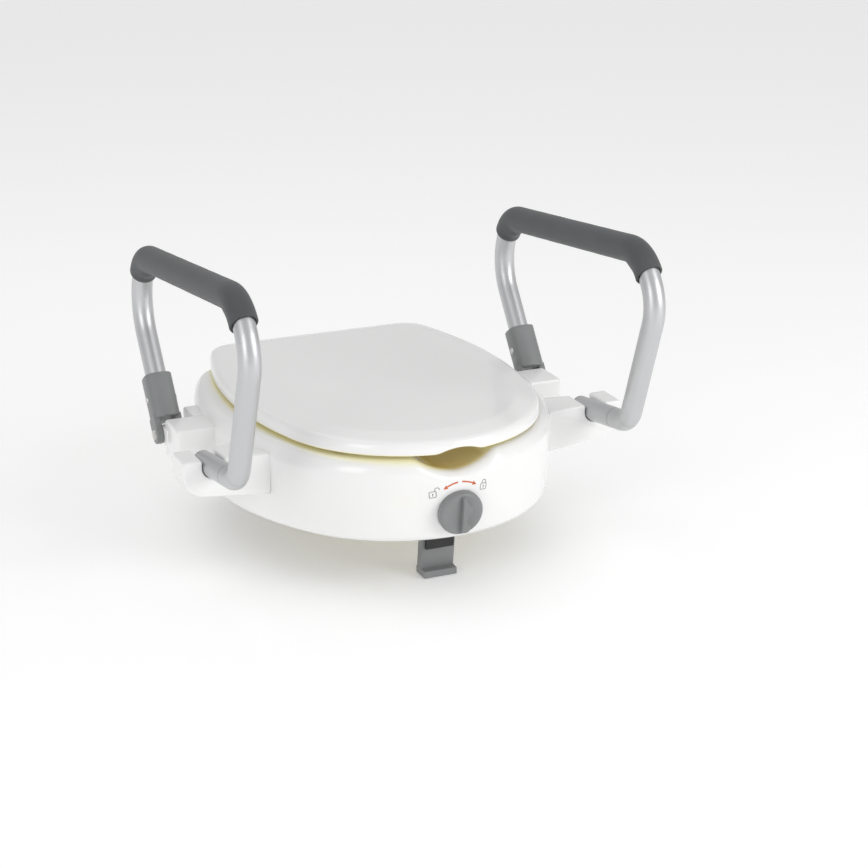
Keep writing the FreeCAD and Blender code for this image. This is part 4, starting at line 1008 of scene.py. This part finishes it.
place("knob", *make_knob(), GREY_PLASTIC, "knob", "grey_plastic", replaces=("front_knob",))
orange, grey_ink = ink("orange_ink", (0.65, 0.13, 0.03)), ink("grey_ink", (0.26, 0.26, 0.26))
arrows = joined([arrow(a0, a1, 35.5, 1.6, 8) for a0, a1 in ((-4.5, -27), (3.5, 25))])
place("turn_arrows", *arrows, orange, "seat", "white_plastic")
padlocks = joined([padlock((-32, 23.6), -0.1, True), padlock((29, 25.2), 0.1, False)])
place("lock_marks", *padlocks, grey_ink, "seat", "white_plastic")

# ---------------------------------------------------------------- stage, camera and lights
camera = bpy.data.objects.new("camera", bpy.data.cameras.new("camera"))
bpy.context.scene.collection.objects.link(camera)
camera.location = (-0.9496, -2.2857, 0.9937)
camera.rotation_euler = (math.radians(90 - 19.45), 0, math.radians(-23.91))
camera.data.lens = 91.4
camera.data.sensor_width = 36
bpy.context.scene.camera = camera


def soft_light(name, location, target, size, watts):
    data = bpy.data.lights.new(name, "AREA")
    data.shape = "RECTANGLE"
    data.size, data.size_y = size
    data.energy = watts
    lamp = bpy.data.objects.new(name, data)
    bpy.context.scene.collection.objects.link(lamp)
    back = np.array(location, float) - target
    back /= np.linalg.norm(back)
    lamp.location = location
    lamp.rotation_euler = (math.acos(back[2]), 0, math.atan2(back[1], back[0]) + math.pi / 2)


AIM = np.array([0, 0, 0.15])
soft_light("overhead", (-0.5, 0.9, 2.3), AIM, (1.6, 1.2), 5)
soft_light("front_right", (1.6, -2.0, 1.2), AIM, (1.1, 1.6), 24)
soft_light("front_left", (-2.2, -1.5, 1.0), AIM, (0.9, 1.6), 12)

world = bpy.data.worlds.new("studio")
bpy.context.scene.world = world
world.use_nodes = True
tree = world.node_tree
direction = tree.nodes.new("ShaderNodeTexCoord")
height = tree.nodes.new("ShaderNodeSeparateXYZ")
tree.links.new(direction.outputs["Generated"], height.inputs["Vector"])
ramp = tree.nodes.new("ShaderNodeValToRGB")
for stop, position, grey in zip(ramp.color_ramp.elements, (0.0, 0.75), (0.62, 0.66)):
    stop.position, stop.color = position, (grey, grey, grey, 1)
tree.links.new(height.outputs["Z"], ramp.inputs["Fac"])
tree.links.new(ramp.outputs["Color"], tree.nodes["Background"].inputs["Color"])
tree.nodes["Background"].inputs["Strength"].default_value = 1.0

floor_mesh = bpy.data.meshes.new("floor")
reach, level = 30, -0.001
floor_corners = [(x * reach, y * reach, level) for x, y in ((-1, -1), (1, -1), (1, 1), (-1, 1))]
floor_mesh.from_pydata(floor_corners, [], [(0, 1, 2, 3)])
floor = bpy.data.objects.new("floor", floor_mesh)
bpy.context.scene.collection.objects.link(floor)
pale = Finish("pale_floor", (0.9, 0.9, 0.9), 0.8)
pale.shader.inputs["Emission Color"].default_value = (1, 1, 1, 1)
pale.shader.inputs["Emission Strength"].default_value = 0.2
floor_mesh.materials.append(pale.material)

bpy.context.scene.view_settings.view_transform = "Standard"
